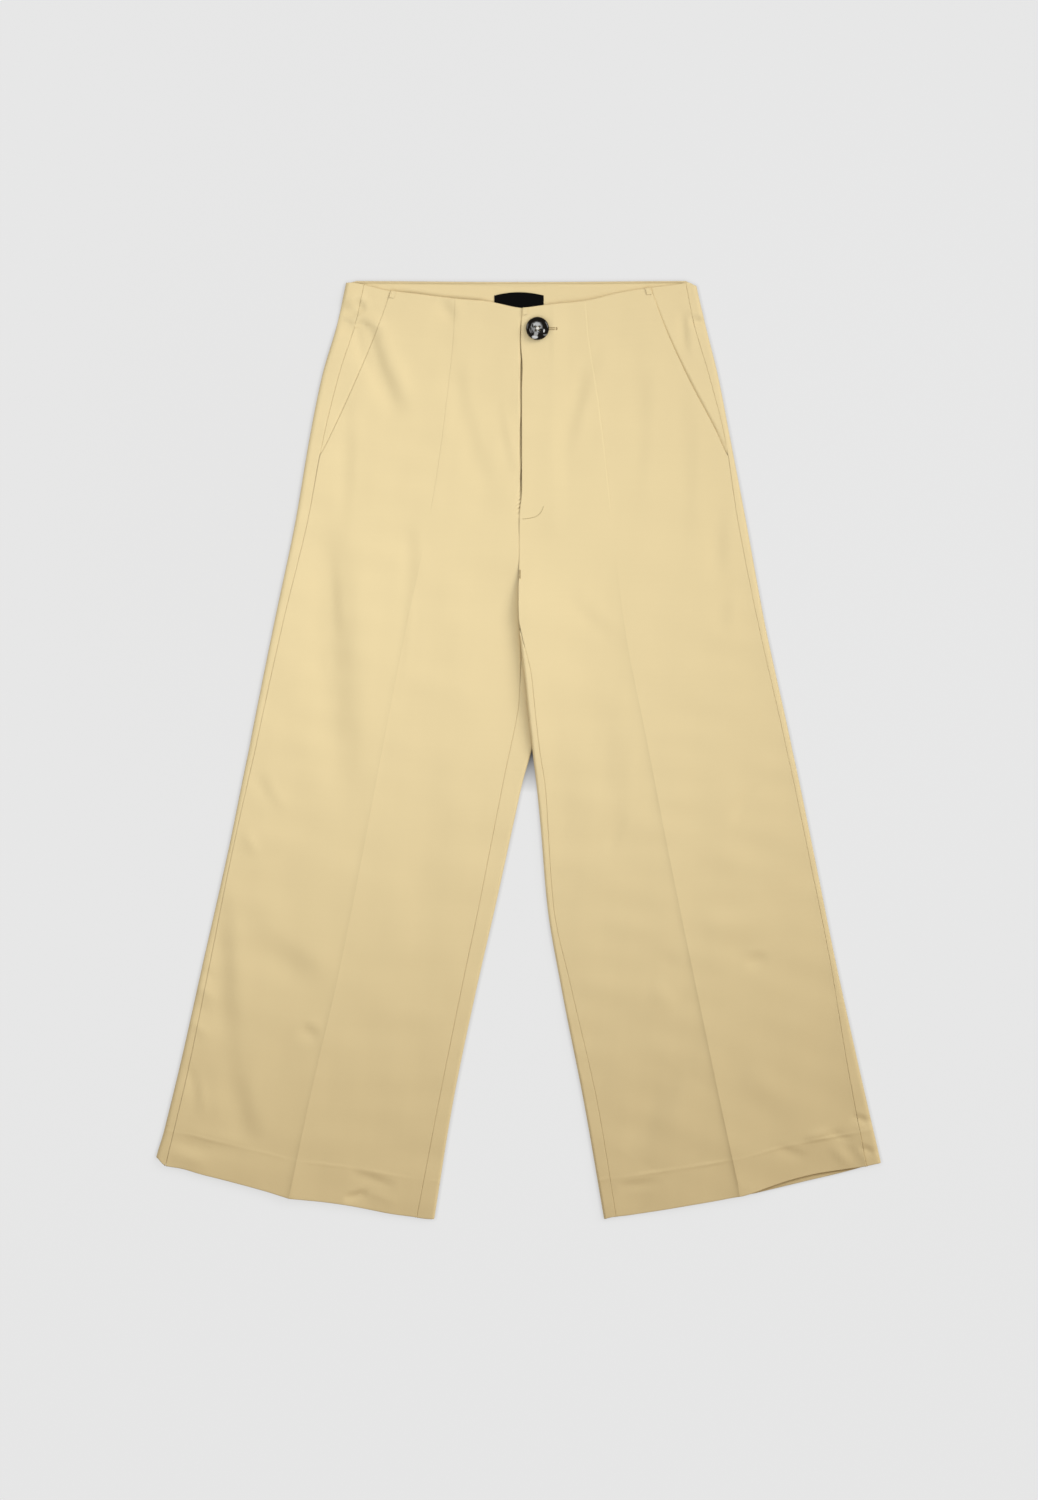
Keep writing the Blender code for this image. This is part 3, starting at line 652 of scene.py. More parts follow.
# The rows of points down a leg, closer together at the waist, the hem's stitching and its fold
STATIONS = np.concatenate(
    [
        [FOLD_RADIUS, 1.4, 2.6],
        np.arange(4.5, 40, 2.5),
        np.arange(40, 838, 4.0),
        np.arange(838, 858, 2.5),
        np.arange(858, 868, 1.0),
        np.arange(868, 896, 2.5),
        [897.4, 898.6, LENGTH - FOLD_RADIUS],
    ]
)


def unit(v):
    return v / np.maximum(np.linalg.norm(v, axis=-1, keepdims=True), 1e-12)


def roll_edge(rows, hand, edge, turn, tail, radius=FOLD_RADIUS):
    """Rolls an edge of a sheet inwards through an angle, and on by a straight tail of so many mm.

    hand is +1 where the sheet's outer face is across x down, and -1 where it is the other one.  edge is
    waist, hem, outer or inner.  turn and tail may differ from point to point along the edge.
    """
    sideways, first = edge in ("outer", "inner"), edge in ("waist", "outer")
    if sideways:
        rows, hand = rows.swapaxes(0, 1), -hand
    if first:
        rows, hand = rows[::-1], -hand
    face = hand * unit(np.cross(np.gradient(rows[-3:], axis=1)[-1], rows[-1] - rows[-2]))
    outward = unit(rows[-1] - rows[-2])
    turn = np.broadcast_to(turn, len(face))[:, None]
    tail = np.broadcast_to(tail, len(face))[:, None]
    added = []
    for i in range(1, FOLD_STEPS + 1):
        angle = turn * i / FOLD_STEPS
        added.append(rows[-1] + radius * (np.sin(angle) * outward - (1 - np.cos(angle)) * face))
    for share in (0.5, 1.0):
        added.append(added[FOLD_STEPS - 1] + share * tail * (np.cos(turn) * outward - np.sin(turn) * face))
    rows = np.concatenate([rows, added])
    if first:
        rows = rows[::-1]
    return rows.swapaxes(0, 1) if sideways else rows


def turn_hem(rows, hand):
    """Folds the cloth up inside at the hem: round the fold and back to where the hem is sewn."""
    across, down = np.gradient(rows, axis=1), np.gradient(rows, axis=0)
    face = hand * unit(np.cross(across, down))
    outward = unit(rows[-1] - rows[-2])
    added = []
    for i in range(1, FOLD_STEPS + 1):
        angle = np.pi * i / FOLD_STEPS
        added.append(rows[-1] + FOLD_RADIUS * (np.sin(angle) * outward - (1 - np.cos(angle)) * face[-1]))
    rolled_at_waist = len(rows) - len(STATIONS)
    turned_up = rolled_at_waist + np.flatnonzero(STATIONS > HEM_TOP)
    for i in turned_up[-3::-3]:
        added.append(rows[i] - 2 * FOLD_RADIUS * face[i])
    return np.concatenate([rows, added])


def cloth_sheet(name, rows, hand, finish, wall=CLOTH, grain_column=0):
    """A sheet of cloth through a grid of points, with its weave laid along it, thickened inwards."""
    down, across = rows.shape[:2]
    steps_across = np.linalg.norm(np.diff(rows, axis=1), axis=2)
    u = np.concatenate([np.zeros((down, 1)), np.cumsum(steps_across, axis=1)], axis=1)
    u = u - u[:, grain_column : grain_column + 1]
    grain = np.linalg.norm(np.diff(rows[:, grain_column], axis=0), axis=1)
    v = np.broadcast_to(np.concatenate([[0.0], np.cumsum(grain)])[:, None], u.shape)
    if hand < 0:
        rows, u, v = rows[:, ::-1], u[:, ::-1], v[:, ::-1]
    bpy.ops.object.select_all(action="DESELECT")
    bpy.ops.mesh.primitive_grid_add(x_subdivisions=across - 1, y_subdivisions=down - 1, size=1.0)
    piece = bpy.context.object
    piece.name = piece.data.name = name
    mesh = piece.data
    mesh.vertices.foreach_set("co", np.ascontiguousarray(rows * MM, dtype=np.float32).ravel())
    corners = np.empty(len(mesh.loops), np.int32)
    mesh.loops.foreach_get("vertex_index", corners)
    laid = np.stack([u.ravel(), v.ravel()], axis=1)[corners] * MM
    mesh.uv_layers.active.data.foreach_set("uv", laid.astype(np.float32).ravel())
    mesh.materials.append(finish)
    thickness = piece.modifiers.new("Cloth", "SOLIDIFY")
    thickness.thickness = wall * MM
    thickness.offset = -1.0
    bpy.ops.object.modifier_apply(modifier=thickness.name)
    bpy.ops.object.shade_smooth_by_angle(angle=np.radians(60))
    return piece


CLOTH_COLOUR = (0.695, 0.561, 0.304, 1.0)
TWILL_RIB, RIB_LEAN, WAVE_REPEAT = 0.0009, 63.0, 0.314
SLUB_SIZE, SLUB_SHADE = (14.0, 420.0, 1.0), 0.008


def twill(name, colour):
    """Smooth cotton twill: fine diagonal ribs, faint slubs along the weft and a low sheen."""
    made = new_finish(
        name,
        {"Roughness": 0.72, "Specular IOR Level": 0.25, "Sheen Weight": 0.12, "Sheen Roughness": 0.45},
    )
    lay = add_node(made, "UVMap")
    turn = add_node(made, "Mapping", {"Rotation": (0.0, 0.0, np.radians(RIB_LEAN))})
    ribs = add_node(made, "TexWave", {"Scale": WAVE_REPEAT / TWILL_RIB, "Distortion": 0.6, "Detail": 1.0})
    bump = add_node(made, "Bump", {"Strength": 0.10, "Distance": 0.0001})
    weft = add_node(made, "Mapping", {"Scale": SLUB_SIZE})
    slubs = add_node(made, "TexNoise", {"Scale": 1.0, "Detail": 3.0})
    darker, paler = ([c * (1 + way * SLUB_SHADE) for c in colour[:3]] + [1.0] for way in (-1, 1))
    shade = add_node(made, "Mix", {"A": darker, "B": paler}, data_type="RGBA")
    wire(lay, "UV", turn, "Vector")
    wire(turn, "Vector", ribs, "Vector")
    wire(ribs, "Fac", bump, "Height")
    wire(bump, "Normal", shader_of(made), "Normal")
    wire(lay, "UV", weft, "Vector")
    wire(weft, "Vector", slubs, "Vector")
    wire(slubs, "Fac", shade, "Factor")
    wire(shade, "Result", shader_of(made), "Base Color")
    return made


def folded_section(fold, seam, towards, steps, strip):
    """Out and share of height of a back where it is folded round, from the table to the seam.

    towards is +1 where the fold faces the side and -1 where it faces the other leg.  Where the seam is nearer
    to the fold than the fold's own reach, as at the crotch, the cloth ends half way up.
    """
    width = towards * (fold - seam)
    reach = np.clip(width - LEAST_REACH, LEAST_REACH, SIDE_REACH if towards > 0 else INNER_REACH)
    turn = blend(np.pi / 2, np.pi, ease(width, LEAST_REACH, WHOLE_TURN))
    i = np.arange(steps + 1)[None, :]
    angle = turn * i / steps
    hollow = np.where(angle > np.pi / 2, reach, TABLE_REACH)
    outs = fold - towards * hollow * (1 - np.sin(angle))
    shares = (1 - np.cos(angle)) / 2
    seam_end = seam + towards * SEAM_REACH
    over = blend(outs[:, -1:], seam_end, np.linspace(0.0, 1.0, strip + 1)[None, 1:])
    level = np.broadcast_to(shares[:, -1:], over.shape)
    return np.concatenate([outs, over], axis=1), np.concatenate([shares, level], axis=1)


def back_rows(side):
    """The back's outer face: side strip, side fold, table, inner fold and inner strip, for every station."""
    station = STATIONS[:, None]
    line = {name: curve(station) for name, curve in LEG[side].items()}
    seam = line["side_seam"] + SEAM_GAP / 2
    fold = line["side_fold"]
    outs, shares = folded_section(fold, seam, 1.0, SIDE_ARC, SIDE_STRIP)
    side_top = top_of(side, station, outs)
    crest = side_top[:, SIDE_ARC : SIDE_ARC + 1]
    heights = np.where(np.arange(outs.shape[1])[None, :] > SIDE_ARC, side_top, shares * crest)
    side_part = place(side, station, outs[:, ::-1], heights[:, ::-1], "front")

    inner_fold = line["back_edge"] + SEAM_GAP / 2
    inseam = line["front_edge"] - SEAM_GAP / 2
    outs_in, shares_in = folded_section(inner_fold, inseam, -1.0, INNER_ARC, INNER_STRIP)
    curl = ease(station, *CURL[side])
    count = outs_in.shape[1]
    flat = inner_fold + FLAT_LENGTH * (1 - np.arange(count)[None, :] / (count - 1))
    outs_in = blend(flat, outs_in, curl)
    base = leg_lift(side, SIGN[side] * outs_in, station)
    inner_top = top_of(side, station, outs_in)
    crest = (inner_top - base)[:, INNER_ARC : INNER_ARC + 1]
    over = (np.arange(count)[None, :] > INNER_ARC) & (shares_in > LAID_OVER)
    heights_in = np.where(over, inner_top, base + shares_in * crest)
    heights_in = blend(base, heights_in, curl)
    drop_back = drop_of(side, station, outs_in, "back")
    drop_front = drop_of(side, station, outs_in, "front")
    drop = np.where(station < CURL[side][0], drop_back, drop_front)
    inner_part = np.stack([SIGN[side] * outs_in, LENGTH / 2 - drop, heights_in], axis=-1)

    table_from, table_to = outs[:, :1], outs_in[:, :1]
    outs_table = blend(table_from, table_to, np.linspace(0.0, 1.0, ON_TABLE + 1)[None, 1:-1])
    lift = leg_lift(side, SIGN[side] * outs_table, station)
    near_hem = ease(station, LENGTH - BACK_HEM_RISE_LENGTH, LENGTH)
    lift = lift + BACK_HEM_RISE * hem_bow(side, station, outs_table) * near_hem
    table_part = place(side, station, outs_table, lift, "back")
    return np.concatenate([side_part, table_part, inner_part], axis=1)


COTTON = twill("straw_twill", CLOTH_COLOUR)
for side in ("right", "left"):
    hand = -SIGN[side]
    rows = back_rows(side)
    rows = roll_edge(rows, hand, "outer", SEAM_ROLL, SEAM_TURN_IN, radius=SEAM_RADIUS)
    turn_in = np.where(STATIONS > CURL[side][1] + INSEAM_BELOW, SEAM_ROLL, CUT_EDGE_ROLL)
    rows = roll_edge(rows, hand, "inner", turn_in, SEAM_TURN_IN, radius=SEAM_RADIUS)
    rows = roll_edge(rows, hand, "waist", np.pi, BACK_WAIST_TURN_IN, radius=BACK_WAIST_RADIUS)
    rows = turn_hem(rows, hand)
    back = cloth_sheet("back_cloth_" + side, rows, hand, COTTON, grain_column=rows.shape[1] // 2)
    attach(back, "root")
    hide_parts("back_" + side)


# --- the pocket pieces ---
# Behind each slanted pocket mouth lies a hip piece of the same twill, caught in the side seam and the waist.
# The front's folded pocket edge laps over it.

Mouth = namedtuple("Mouth", "drop right left")
MOUTH_END = 167.0
MOUTH = (
    Mouth(0, 119.8, 124.0),
    Mouth(40, 133.7, 138.3),
    Mouth(90, 154.2, 160.6),
    Mouth(150, 181.6, 191.6),
    Mouth(MOUTH_END, 190.2, 198.8),
)
MOUTH_OUT = columns(MOUTH, "drop")
POCKET_UNDERLAP = 15.0
POCKET_SINK, POCKET_SINK_WIDTH = {"right": 0.3, "left": 1.4}, 3.0
POCKET_FACING_END = 173.0
POCKET_WAIST_TURN_IN = 3.0
NEAR_EDGE, EVEN_FROM = np.array([0.0, 0.7, 1.7, 3.2]), 5.0
POCKET_COLUMNS = 44

for side in ("right", "left"):
    hand = SIGN[side]
    stations = np.concatenate([STATIONS[STATIONS < MOUTH_END], [MOUTH_END, POCKET_FACING_END]])[:, None]
    outer = LEG[side]["side_seam"](stations) - SEAM_GAP / 2 - SEAM_REACH
    inner = MOUTH_OUT[side](stations) - POCKET_UNDERLAP
    across = blend(outer - EVEN_FROM, inner, np.linspace(0, 1, POCKET_COLUMNS))
    outs = np.concatenate([outer - NEAR_EDGE, across], axis=1)
    past_mouth = outs - MOUTH_OUT[side](stations)
    sink = POCKET_SINK[side] * (1 - ease(past_mouth, 0.0, POCKET_SINK_WIDTH))
    rows = place(side, stations, outs, top_of(side, stations, outs) - sink, "front")
    rows = roll_edge(rows, hand, "outer", SEAM_ROLL, SEAM_TURN_IN, radius=SEAM_RADIUS)
    rows = roll_edge(rows, hand, "waist", np.pi, POCKET_WAIST_TURN_IN)
    piece = cloth_sheet("pocket_cloth_" + side, rows, hand, COTTON, grain_column=8)
    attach(piece, "root")
    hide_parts("pocket_facing_" + side)


# --- the fronts ---
# Each front has one long stitched dart that goes on as a pressed crease, a folded pocket edge and a turned-up
# hem.  The left front laps over the right one's extension at the fly.

FLY_END = 232.0
LAP_STEP = 0.8
LAP_SWELL, SWELL_ON, SWELL_OFF = 0.8, (118, 145), (188, 208)
EXTENSION_SINK, SINK_EDGE = 3.6, (1.0, 2.6)
SINK_ON, SINK_OFF = (8.0, 30.0), (FLY_END - 8, FLY_END)
FLY_FALL, FLY_FALL_LENGTH = (3.0, 22.0), 22.0
POCKET_STEP = 0.5
POCKET_FALL, POCKET_FALL_LENGTH = (6.0, 62.0), (4.0, 45.0)
BY_CREASE = np.array([5.0, 3.6, 2.5, 1.6, 0.9, 0.45, 0.2, 0.0, -0.2, -0.45, -0.9, -1.6, -2.5, -3.6, -5.0])
CREASE_CLEAR = 7.0
SIDE_COLUMNS, CENTRE_COLUMNS = 30, 56
EDGE_TURN_IN, FRONT_WAIST_TURN_IN, FRONT_WAIST_RADIUS = 5.0, 6.0, 1.1
HEM_SAG, SAG_ABOVE_HEM = 1.7, 10.0


def fly_raise(x, station):
    """The left front is raised a little over the fly extension."""
    across = 1 - ease(x - EXTENSION, *FLY_FALL)
    step = LAP_STEP * (1 + LAP_SWELL * window(station, SWELL_ON, SWELL_OFF))
    return step * across * (1 - ease(station, FLY_END, FLY_END + FLY_FALL_LENGTH))


def pocket_raise(side, station, out):
    """The front is raised over the pocket piece."""
    across = 1 - ease(MOUTH_OUT[side](station) - out, *POCKET_FALL)
    return POCKET_STEP * across * (1 - ease(station - POCKET_FACING_END, *POCKET_FALL_LENGTH))


def front_top(side, station, out):
    """Height of a front's outer face."""
    height = top_of(side, station, out) + pocket_raise(side, station, out)
    from_seam = LEG[side]["side_seam"](station) - out
    height = height + SHOULDER_AT[side](station) * np.exp(-from_seam / SHOULDER_WIDTH)
    height = height - HEM_SAG * hem_bow(side, station, out) * ease(station, HEM_TOP - SAG_ABOVE_HEM, LENGTH)
    if side == "left":
        return height + fly_raise(out, station)
    return height - EXTENSION_SINK * ease(-out, *SINK_EDGE) * window(station, SINK_ON, SINK_OFF)


def front_outs(side, station):
    """Distances out of a front's points, from its pocket mouth or side seam to its inner edge."""
    mouth = MOUTH_OUT[side](drop_of(side, station, MOUTH_OUT[side](station), "front"))
    seam = LEG[side]["side_seam"](station) - SEAM_GAP / 2
    outer = np.where(station < MOUTH_END, np.minimum(mouth, seam) - FOLD_RADIUS, seam - SEAM_REACH)
    crease = LEG[side]["crease"](station)
    folded = (station < FLY_END) & (side == "left")
    reach = np.where(folded, FOLD_RADIUS, SEAM_REACH)
    inner = LEG[side]["front_edge"](station) + SEAM_GAP / 2 + reach
    to_crease = blend(outer - EVEN_FROM, crease + CREASE_CLEAR, np.linspace(0, 1, SIDE_COLUMNS))
    to_edge = blend(crease - CREASE_CLEAR, inner + EVEN_FROM, np.linspace(0, 1, CENTRE_COLUMNS))
    by_outer, by_inner = outer - NEAR_EDGE, inner + NEAR_EDGE[::-1]
    return np.concatenate([by_outer, to_crease, crease + BY_CREASE, to_edge, by_inner], axis=1)


for side in ("right", "left"):
    hand = SIGN[side]
    station = STATIONS[:, None]
    outs = front_outs(side, station)
    rows = place(side, station, outs, front_top(side, station, outs), "front")
    for edge, folded in (("outer", STATIONS < MOUTH_END), ("inner", (STATIONS < FLY_END) & (side == "left"))):
        turn = np.where(folded, np.pi, SEAM_ROLL)
        tail = np.where(folded, EDGE_TURN_IN, SEAM_TURN_IN)
        radius = np.where(folded, FOLD_RADIUS, SEAM_RADIUS)[:, None]
        rows = roll_edge(rows, hand, edge, turn, tail, radius=radius)
    rows = roll_edge(rows, hand, "waist", np.pi, FRONT_WAIST_TURN_IN, radius=FRONT_WAIST_RADIUS)
    rows = turn_hem(rows, hand)
    front = cloth_sheet("front_cloth_" + side, rows, hand, COTTON, grain_column=50)
    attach(front, "root")
    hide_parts("front_" + side)


# --- the back waist's facing ---
# A shaped facing of the same twill, seamed to the back's waist edge, turned inside and understitched close
# under the edge.  It shows where the front waist dips, wrong side of the garment up.

FACING_DEPTH, FACING_HALF_WIDTH = 45.0, 158.0
FACING_COLUMNS = 106
FACING_REVEAL, FACING_TOP = 0.5, 2.6

# The edge stands up to its seam, less so on the wearer's left, and under the front's edge the facing lies
# lower over a stretch on either side of the middle
FACING_EDGE_RISE, FLATTER, FLATTER_ON = 0.65, 0.6, (0.0, 40.0)
FACING_SINK, FRONT_EDGE = 1.5, (-6.0, 0.5)
SUNK_RIGHT = ((-135, -108), (-42, -28))
SUNK_LEFT, SUNK_LEFT_SHARE = ((28, 40), (70, 105)), 0.6
UNDERSTITCH_DEPTH, UNDERSTITCH_DIP, UNDERSTITCH_DIP_WIDTH = 2.6, 2.4, 34.0
ROLL_PAST_STITCHES = 0.9
STITCH_GROOVE, STITCH_GROOVE_WIDTH = 0.2, 0.8
# The facing's colour is the cloth's made a little darker, as painted shade for the facing lying inside, below
# the front
FACING_SHADED_COLOUR = (0.688, 0.552, 0.297, 1.0)
FACING_SHADED_TWILL = twill("facing_twill_painted_shade", FACING_SHADED_COLOUR)


def understitched_at(x):
    """How far down the facing its understitching runs."""
    return UNDERSTITCH_DEPTH + UNDERSTITCH_DIP * np.exp(-((x / UNDERSTITCH_DIP_WIDTH) ** 2))


across = np.linspace(-FACING_HALF_WIDTH, FACING_HALF_WIDTH, FACING_COLUMNS)[None, :]
close_rows = FACING_REVEAL + np.arange(0.7, 7.0, 0.6)
depth = np.concatenate([close_rows, np.arange(8.0, 34.0, 1.0), [36.0, 40.0, FACING_DEPTH]])[:, None]
sewn_at = understitched_at(across)
rolled = FACING_EDGE_RISE * (1 - FLATTER * ease(across, *FLATTER_ON))
height = FACING_TOP + rolled * (1 - ease(depth, FACING_REVEAL, sewn_at + ROLL_PAST_STITCHES))
height = height - STITCH_GROOVE * np.exp(-(((depth - sewn_at) / STITCH_GROOVE_WIDTH) ** 2))
above_front = depth - WAIST_DROP["right"](np.abs(across))
sunk = window(across, *SUNK_RIGHT) + SUNK_LEFT_SHARE * window(across, *SUNK_LEFT)
height = height - FACING_SINK * sunk * ease(above_front, *FRONT_EDGE)
drop = depth + back_waist_dip("right", across)
rows = np.stack(np.broadcast_arrays(across, LENGTH / 2 - drop, height), axis=-1)
rows = roll_edge(rows, 1.0, "waist", np.pi / 2, FACING_EDGE_RISE + 0.4)
facing = cloth_sheet("waist_facing_cloth", rows, 1.0, FACING_SHADED_TWILL, grain_column=FACING_COLUMNS // 2)
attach(facing, "root")
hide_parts("waist_facing_back")


# --- the label ---
# A bare label of black woven satin.  Its ends are folded under, and it is sewn flat on the facing at the
# centre back.

LABEL_WIDTH, LABEL_HEIGHT = 46.0, 18.0
LABEL_TOP, LABEL_BOW = 11.0, 3.0
LABEL_SURFACE = 3.7
LABEL_CLOTH = 0.35
LABEL_FOLD_RADIUS, LABEL_TURN_IN = 0.4, 5.0
LABEL_COLOUR = (0.0015, 0.0015, 0.0018, 1.0)
satin = new_finish("black_satin", {"Base Color": LABEL_COLOUR, "Roughness": 0.55, "Specular IOR Level": 0.08})

across = np.linspace(-1, 1, 47)[None, :]
down = np.linspace(0, 1, 19)[:, None]
drop = LABEL_TOP + LABEL_BOW * across**2 + LABEL_HEIGHT * down
rows = np.stack(np.broadcast_arrays(across * LABEL_WIDTH / 2, LENGTH / 2 - drop, LABEL_SURFACE), axis=-1)
for end in ("outer", "inner"):
    rows = roll_edge(rows, -1.0, end, np.pi, LABEL_TURN_IN, radius=LABEL_FOLD_RADIUS)
label = cloth_sheet("label_cloth", rows[:, ::-1], -1.0, satin, wall=LABEL_CLOTH, grain_column=20)
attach(label, "root")
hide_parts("label")


# --- the sewing ---
# Everything is sewn with cotton thread, its dark brown painted shade where the stitches sink into the twill.
# What shows is the understitching along the back facing, the curved end of the fly's stitching, the bar tack
# that closes the fly's foot and the buttonhole.

# The thread's dark brown is painted shade for stitches sunk into the cloth
SHADED_THREAD_COLOUR = (0.29, 0.20, 0.085, 1.0)
SHADED_THREAD = new_finish(
    "sewing_thread_painted_shade", {"Base Color": SHADED_THREAD_COLOUR, "Roughness": 0.6, "Specular IOR Level": 0.2}
)
FITTING_ROUNDS = 12


def front_surface(side, x, drop):
    """The point of a front's outer face at a place in the plan."""
    out = SIGN[side] * np.array([[float(x)]])
    station = np.array([[float(drop)]])
    for _ in range(FITTING_ROUNDS):
        station = station + drop - drop_of(side, station, out, "front")
    return np.array([x, LENGTH / 2 - drop, front_top(side, station, out)[0, 0]])


def stitches(name, runs, thickness):
    """Stitches, each sunk at its ends, from pairs of end points in mm."""
    made = []
    bpy.ops.object.select_all(action="DESELECT")
    for start, end in runs:
        middle, run = (start + end) / 2, end - start
        bpy.ops.mesh.primitive_uv_sphere_add(
            segments=8,
            ring_count=5,
            radius=0.5 * MM,
            location=middle * MM,
            rotation=(0.0, -np.arctan2(run[2], np.hypot(run[0], run[1])), np.arctan2(run[1], run[0])),
            scale=(np.linalg.norm(run), thickness, thickness),
        )
        made.append(bpy.context.object)
    for one in made:
        one.select_set(True)
    bpy.context.view_layer.objects.active = made[0]
    bpy.ops.object.join()
    bpy.ops.object.transform_apply(location=True, rotation=True, scale=True)
    bpy.ops.object.shade_smooth()
    row = bpy.context.object
    row.name = row.data.name = name
    row.data.materials.append(SHADED_THREAD)
    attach(row, "root")
    return row


def along(points, pitch, length):
    """Stitches of a length, a pitch apart, along a line through points in mm."""
    points = np.array(points)
    lengths = np.concatenate([[0.0], np.cumsum(np.linalg.norm(np.diff(points, axis=0), axis=1))])

    def points_at(places):
        return np.stack([np.interp(places, lengths, points[:, i]) for i in range(3)], axis=-1)

    starts = np.arange(0.0, lengths[-1] - length, pitch)
    return list(zip(points_at(starts), points_at(starts + length)))


UNDERSTITCH_HALF_LENGTH = 150.0
places = np.linspace(-UNDERSTITCH_HALF_LENGTH, UNDERSTITCH_HALF_LENGTH, 121)
drops = understitched_at(places) + back_waist_dip("right", places)
line = np.stack([places, LENGTH / 2 - drops, np.full(len(places), FACING_TOP + 0.1)], axis=-1)
stitches("understitching", along(line, pitch=2.5, length=1.6), thickness=0.5)

FLY_STITCHING = ((3.2, 228.5), (9.8, 228.0), (16.5, 226.2), (20.0, 223.6), (22.4, 219.6), (24.0, 214.5))
line = [front_surface("left", x, drop) + (0.0, 0.0, 0.03) for x, drop in FLY_STITCHING]
stitches("fly_stitching", along(line, pitch=2.2, length=1.9), thickness=0.62)

BAR_TACK_TOP, BAR_TACK_FOOT, BAR_TACK_PITCH = 277.5, 286.0, 0.5
BAR_TACK_FROM, BAR_TACK_WIDTH = 0.1, 1.7
bars = []
for drop in np.arange(BAR_TACK_TOP, BAR_TACK_FOOT, BAR_TACK_PITCH):
    bars.append([front_surface("left", x, drop) for x in (BAR_TACK_FROM, BAR_TACK_FROM + BAR_TACK_WIDTH)])
stitches("fly_bar_tack", bars, thickness=0.45)

BUTTON_X, BUTTON_DROP = 17.7, 46.1
BUTTONHOLE, BUTTONHOLE_PITCH = (8.5, 35.0), 0.62
EYE = np.array([BUTTONHOLE[1] + 0.3, BUTTON_DROP])

# Bars of thread lie close together across both lips of the slit and fan round the eye at its end
BUTTONHOLE_BAR, EYE_BAR = (0.15, 1.5), (0.4, 1.9)
cuts = []
for x in np.arange(*BUTTONHOLE, BUTTONHOLE_PITCH):
    for beside in (-1, 1):
        cuts.append([front_surface("left", x, BUTTON_DROP + beside * away) for away in BUTTONHOLE_BAR])
for turn in np.radians(np.arange(-75, 76, 25)):
    way = np.array([np.cos(turn), np.sin(turn)])
    cuts.append([front_surface("left", *(EYE + away * way)) for away in EYE_BAR])
stitches("buttonhole", cuts, thickness=0.45)


# --- the button ---
# A turned four-hole button of polished horn-look resin, with a rolled rim and a dished middle; its colour
# holds painted highlights and a painted reflection on the rim and painted shade in the holes.  It is sewn
# through the lap with a cross of thread on a short shank.

BUTTON_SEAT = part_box("button")[0][2] / MM
BUTTON_Y = LENGTH / 2 - BUTTON_DROP - 0.1
Turn = namedtuple("Turn", "radius height")
BUTTON_PROFILE = (
    Turn(8.4, 0.0),
    Turn(9.9, 0.4),
    Turn(10.8, 1.1),
    Turn(11.1, 2.0),
    Turn(10.9, 2.8),
    Turn(10.4, 3.5),
    Turn(9.6, 4.0),
    Turn(8.7, 4.2),
    Turn(7.8, 4.05),
    Turn(7.1, 3.6),
    Turn(6.6, 3.05),
    Turn(6.1, 2.75),
    Turn(5.2, 2.62),
    Turn(3.0, 2.58),
)
HOLE_RADIUS, HOLE_OFFSET = 1.0, 1.8
DRILL_LENGTH, EDGE_SOFTENING = 20.0, 0.14

# The resin's grey and black patches, the later ones over the earlier ones, about the button's middle: among
# them are painted highlights and a painted reflection of the lamps on the rim, and painted shade in the four
# holes
TonePatch = namedtuple("TonePatch", "x y across along tone")
PATCHES_AND_PAINTED_GLINTS = (
    TonePatch(-0.7, 1.0, 5.6, 5.4, 0.22),
    TonePatch(-0.4, 3.6, 3.6, 2.2, 0.42),
    TonePatch(0.9, -0.6, 2.6, 3.2, 0.34),
    TonePatch(-4.3, 2.2, 0.9, 1.9, 0.01),
    TonePatch(3.3, -2.6, 1.8, 2.6, 0.01),
    TonePatch(-1.6, -5.4, 2.0, 2.6, 0.3),
    # a painted reflection of the lamps on the lower rim
    TonePatch(-2.6, -8.6, 3.0, 1.5, 0.5),
    # painted highlights on the left and right rims
    TonePatch(-9.8, 2.5, 0.9, 3.4, 0.10),
    TonePatch(7.6, -6.4, 2.4, 0.9, 0.13),
    TonePatch(6.2, -2.2, 0.7, 1.7, 0.75),
    # painted shade in the four holes
    TonePatch(-HOLE_OFFSET, HOLE_OFFSET, 1.2, 1.2, 0.004),
    TonePatch(HOLE_OFFSET, HOLE_OFFSET, 1.2, 1.2, 0.004),
    TonePatch(-HOLE_OFFSET, -HOLE_OFFSET, 1.2, 1.2, 0.004),
    TonePatch(HOLE_OFFSET, -HOLE_OFFSET, 1.2, 1.2, 0.004),
)
PATCH_EDGE = {"From Min": 1.15, "From Max": 0.75}
STIR = 2.2
HORN_BLACK = (0.0015, 0.0014, 0.0016, 1.0)

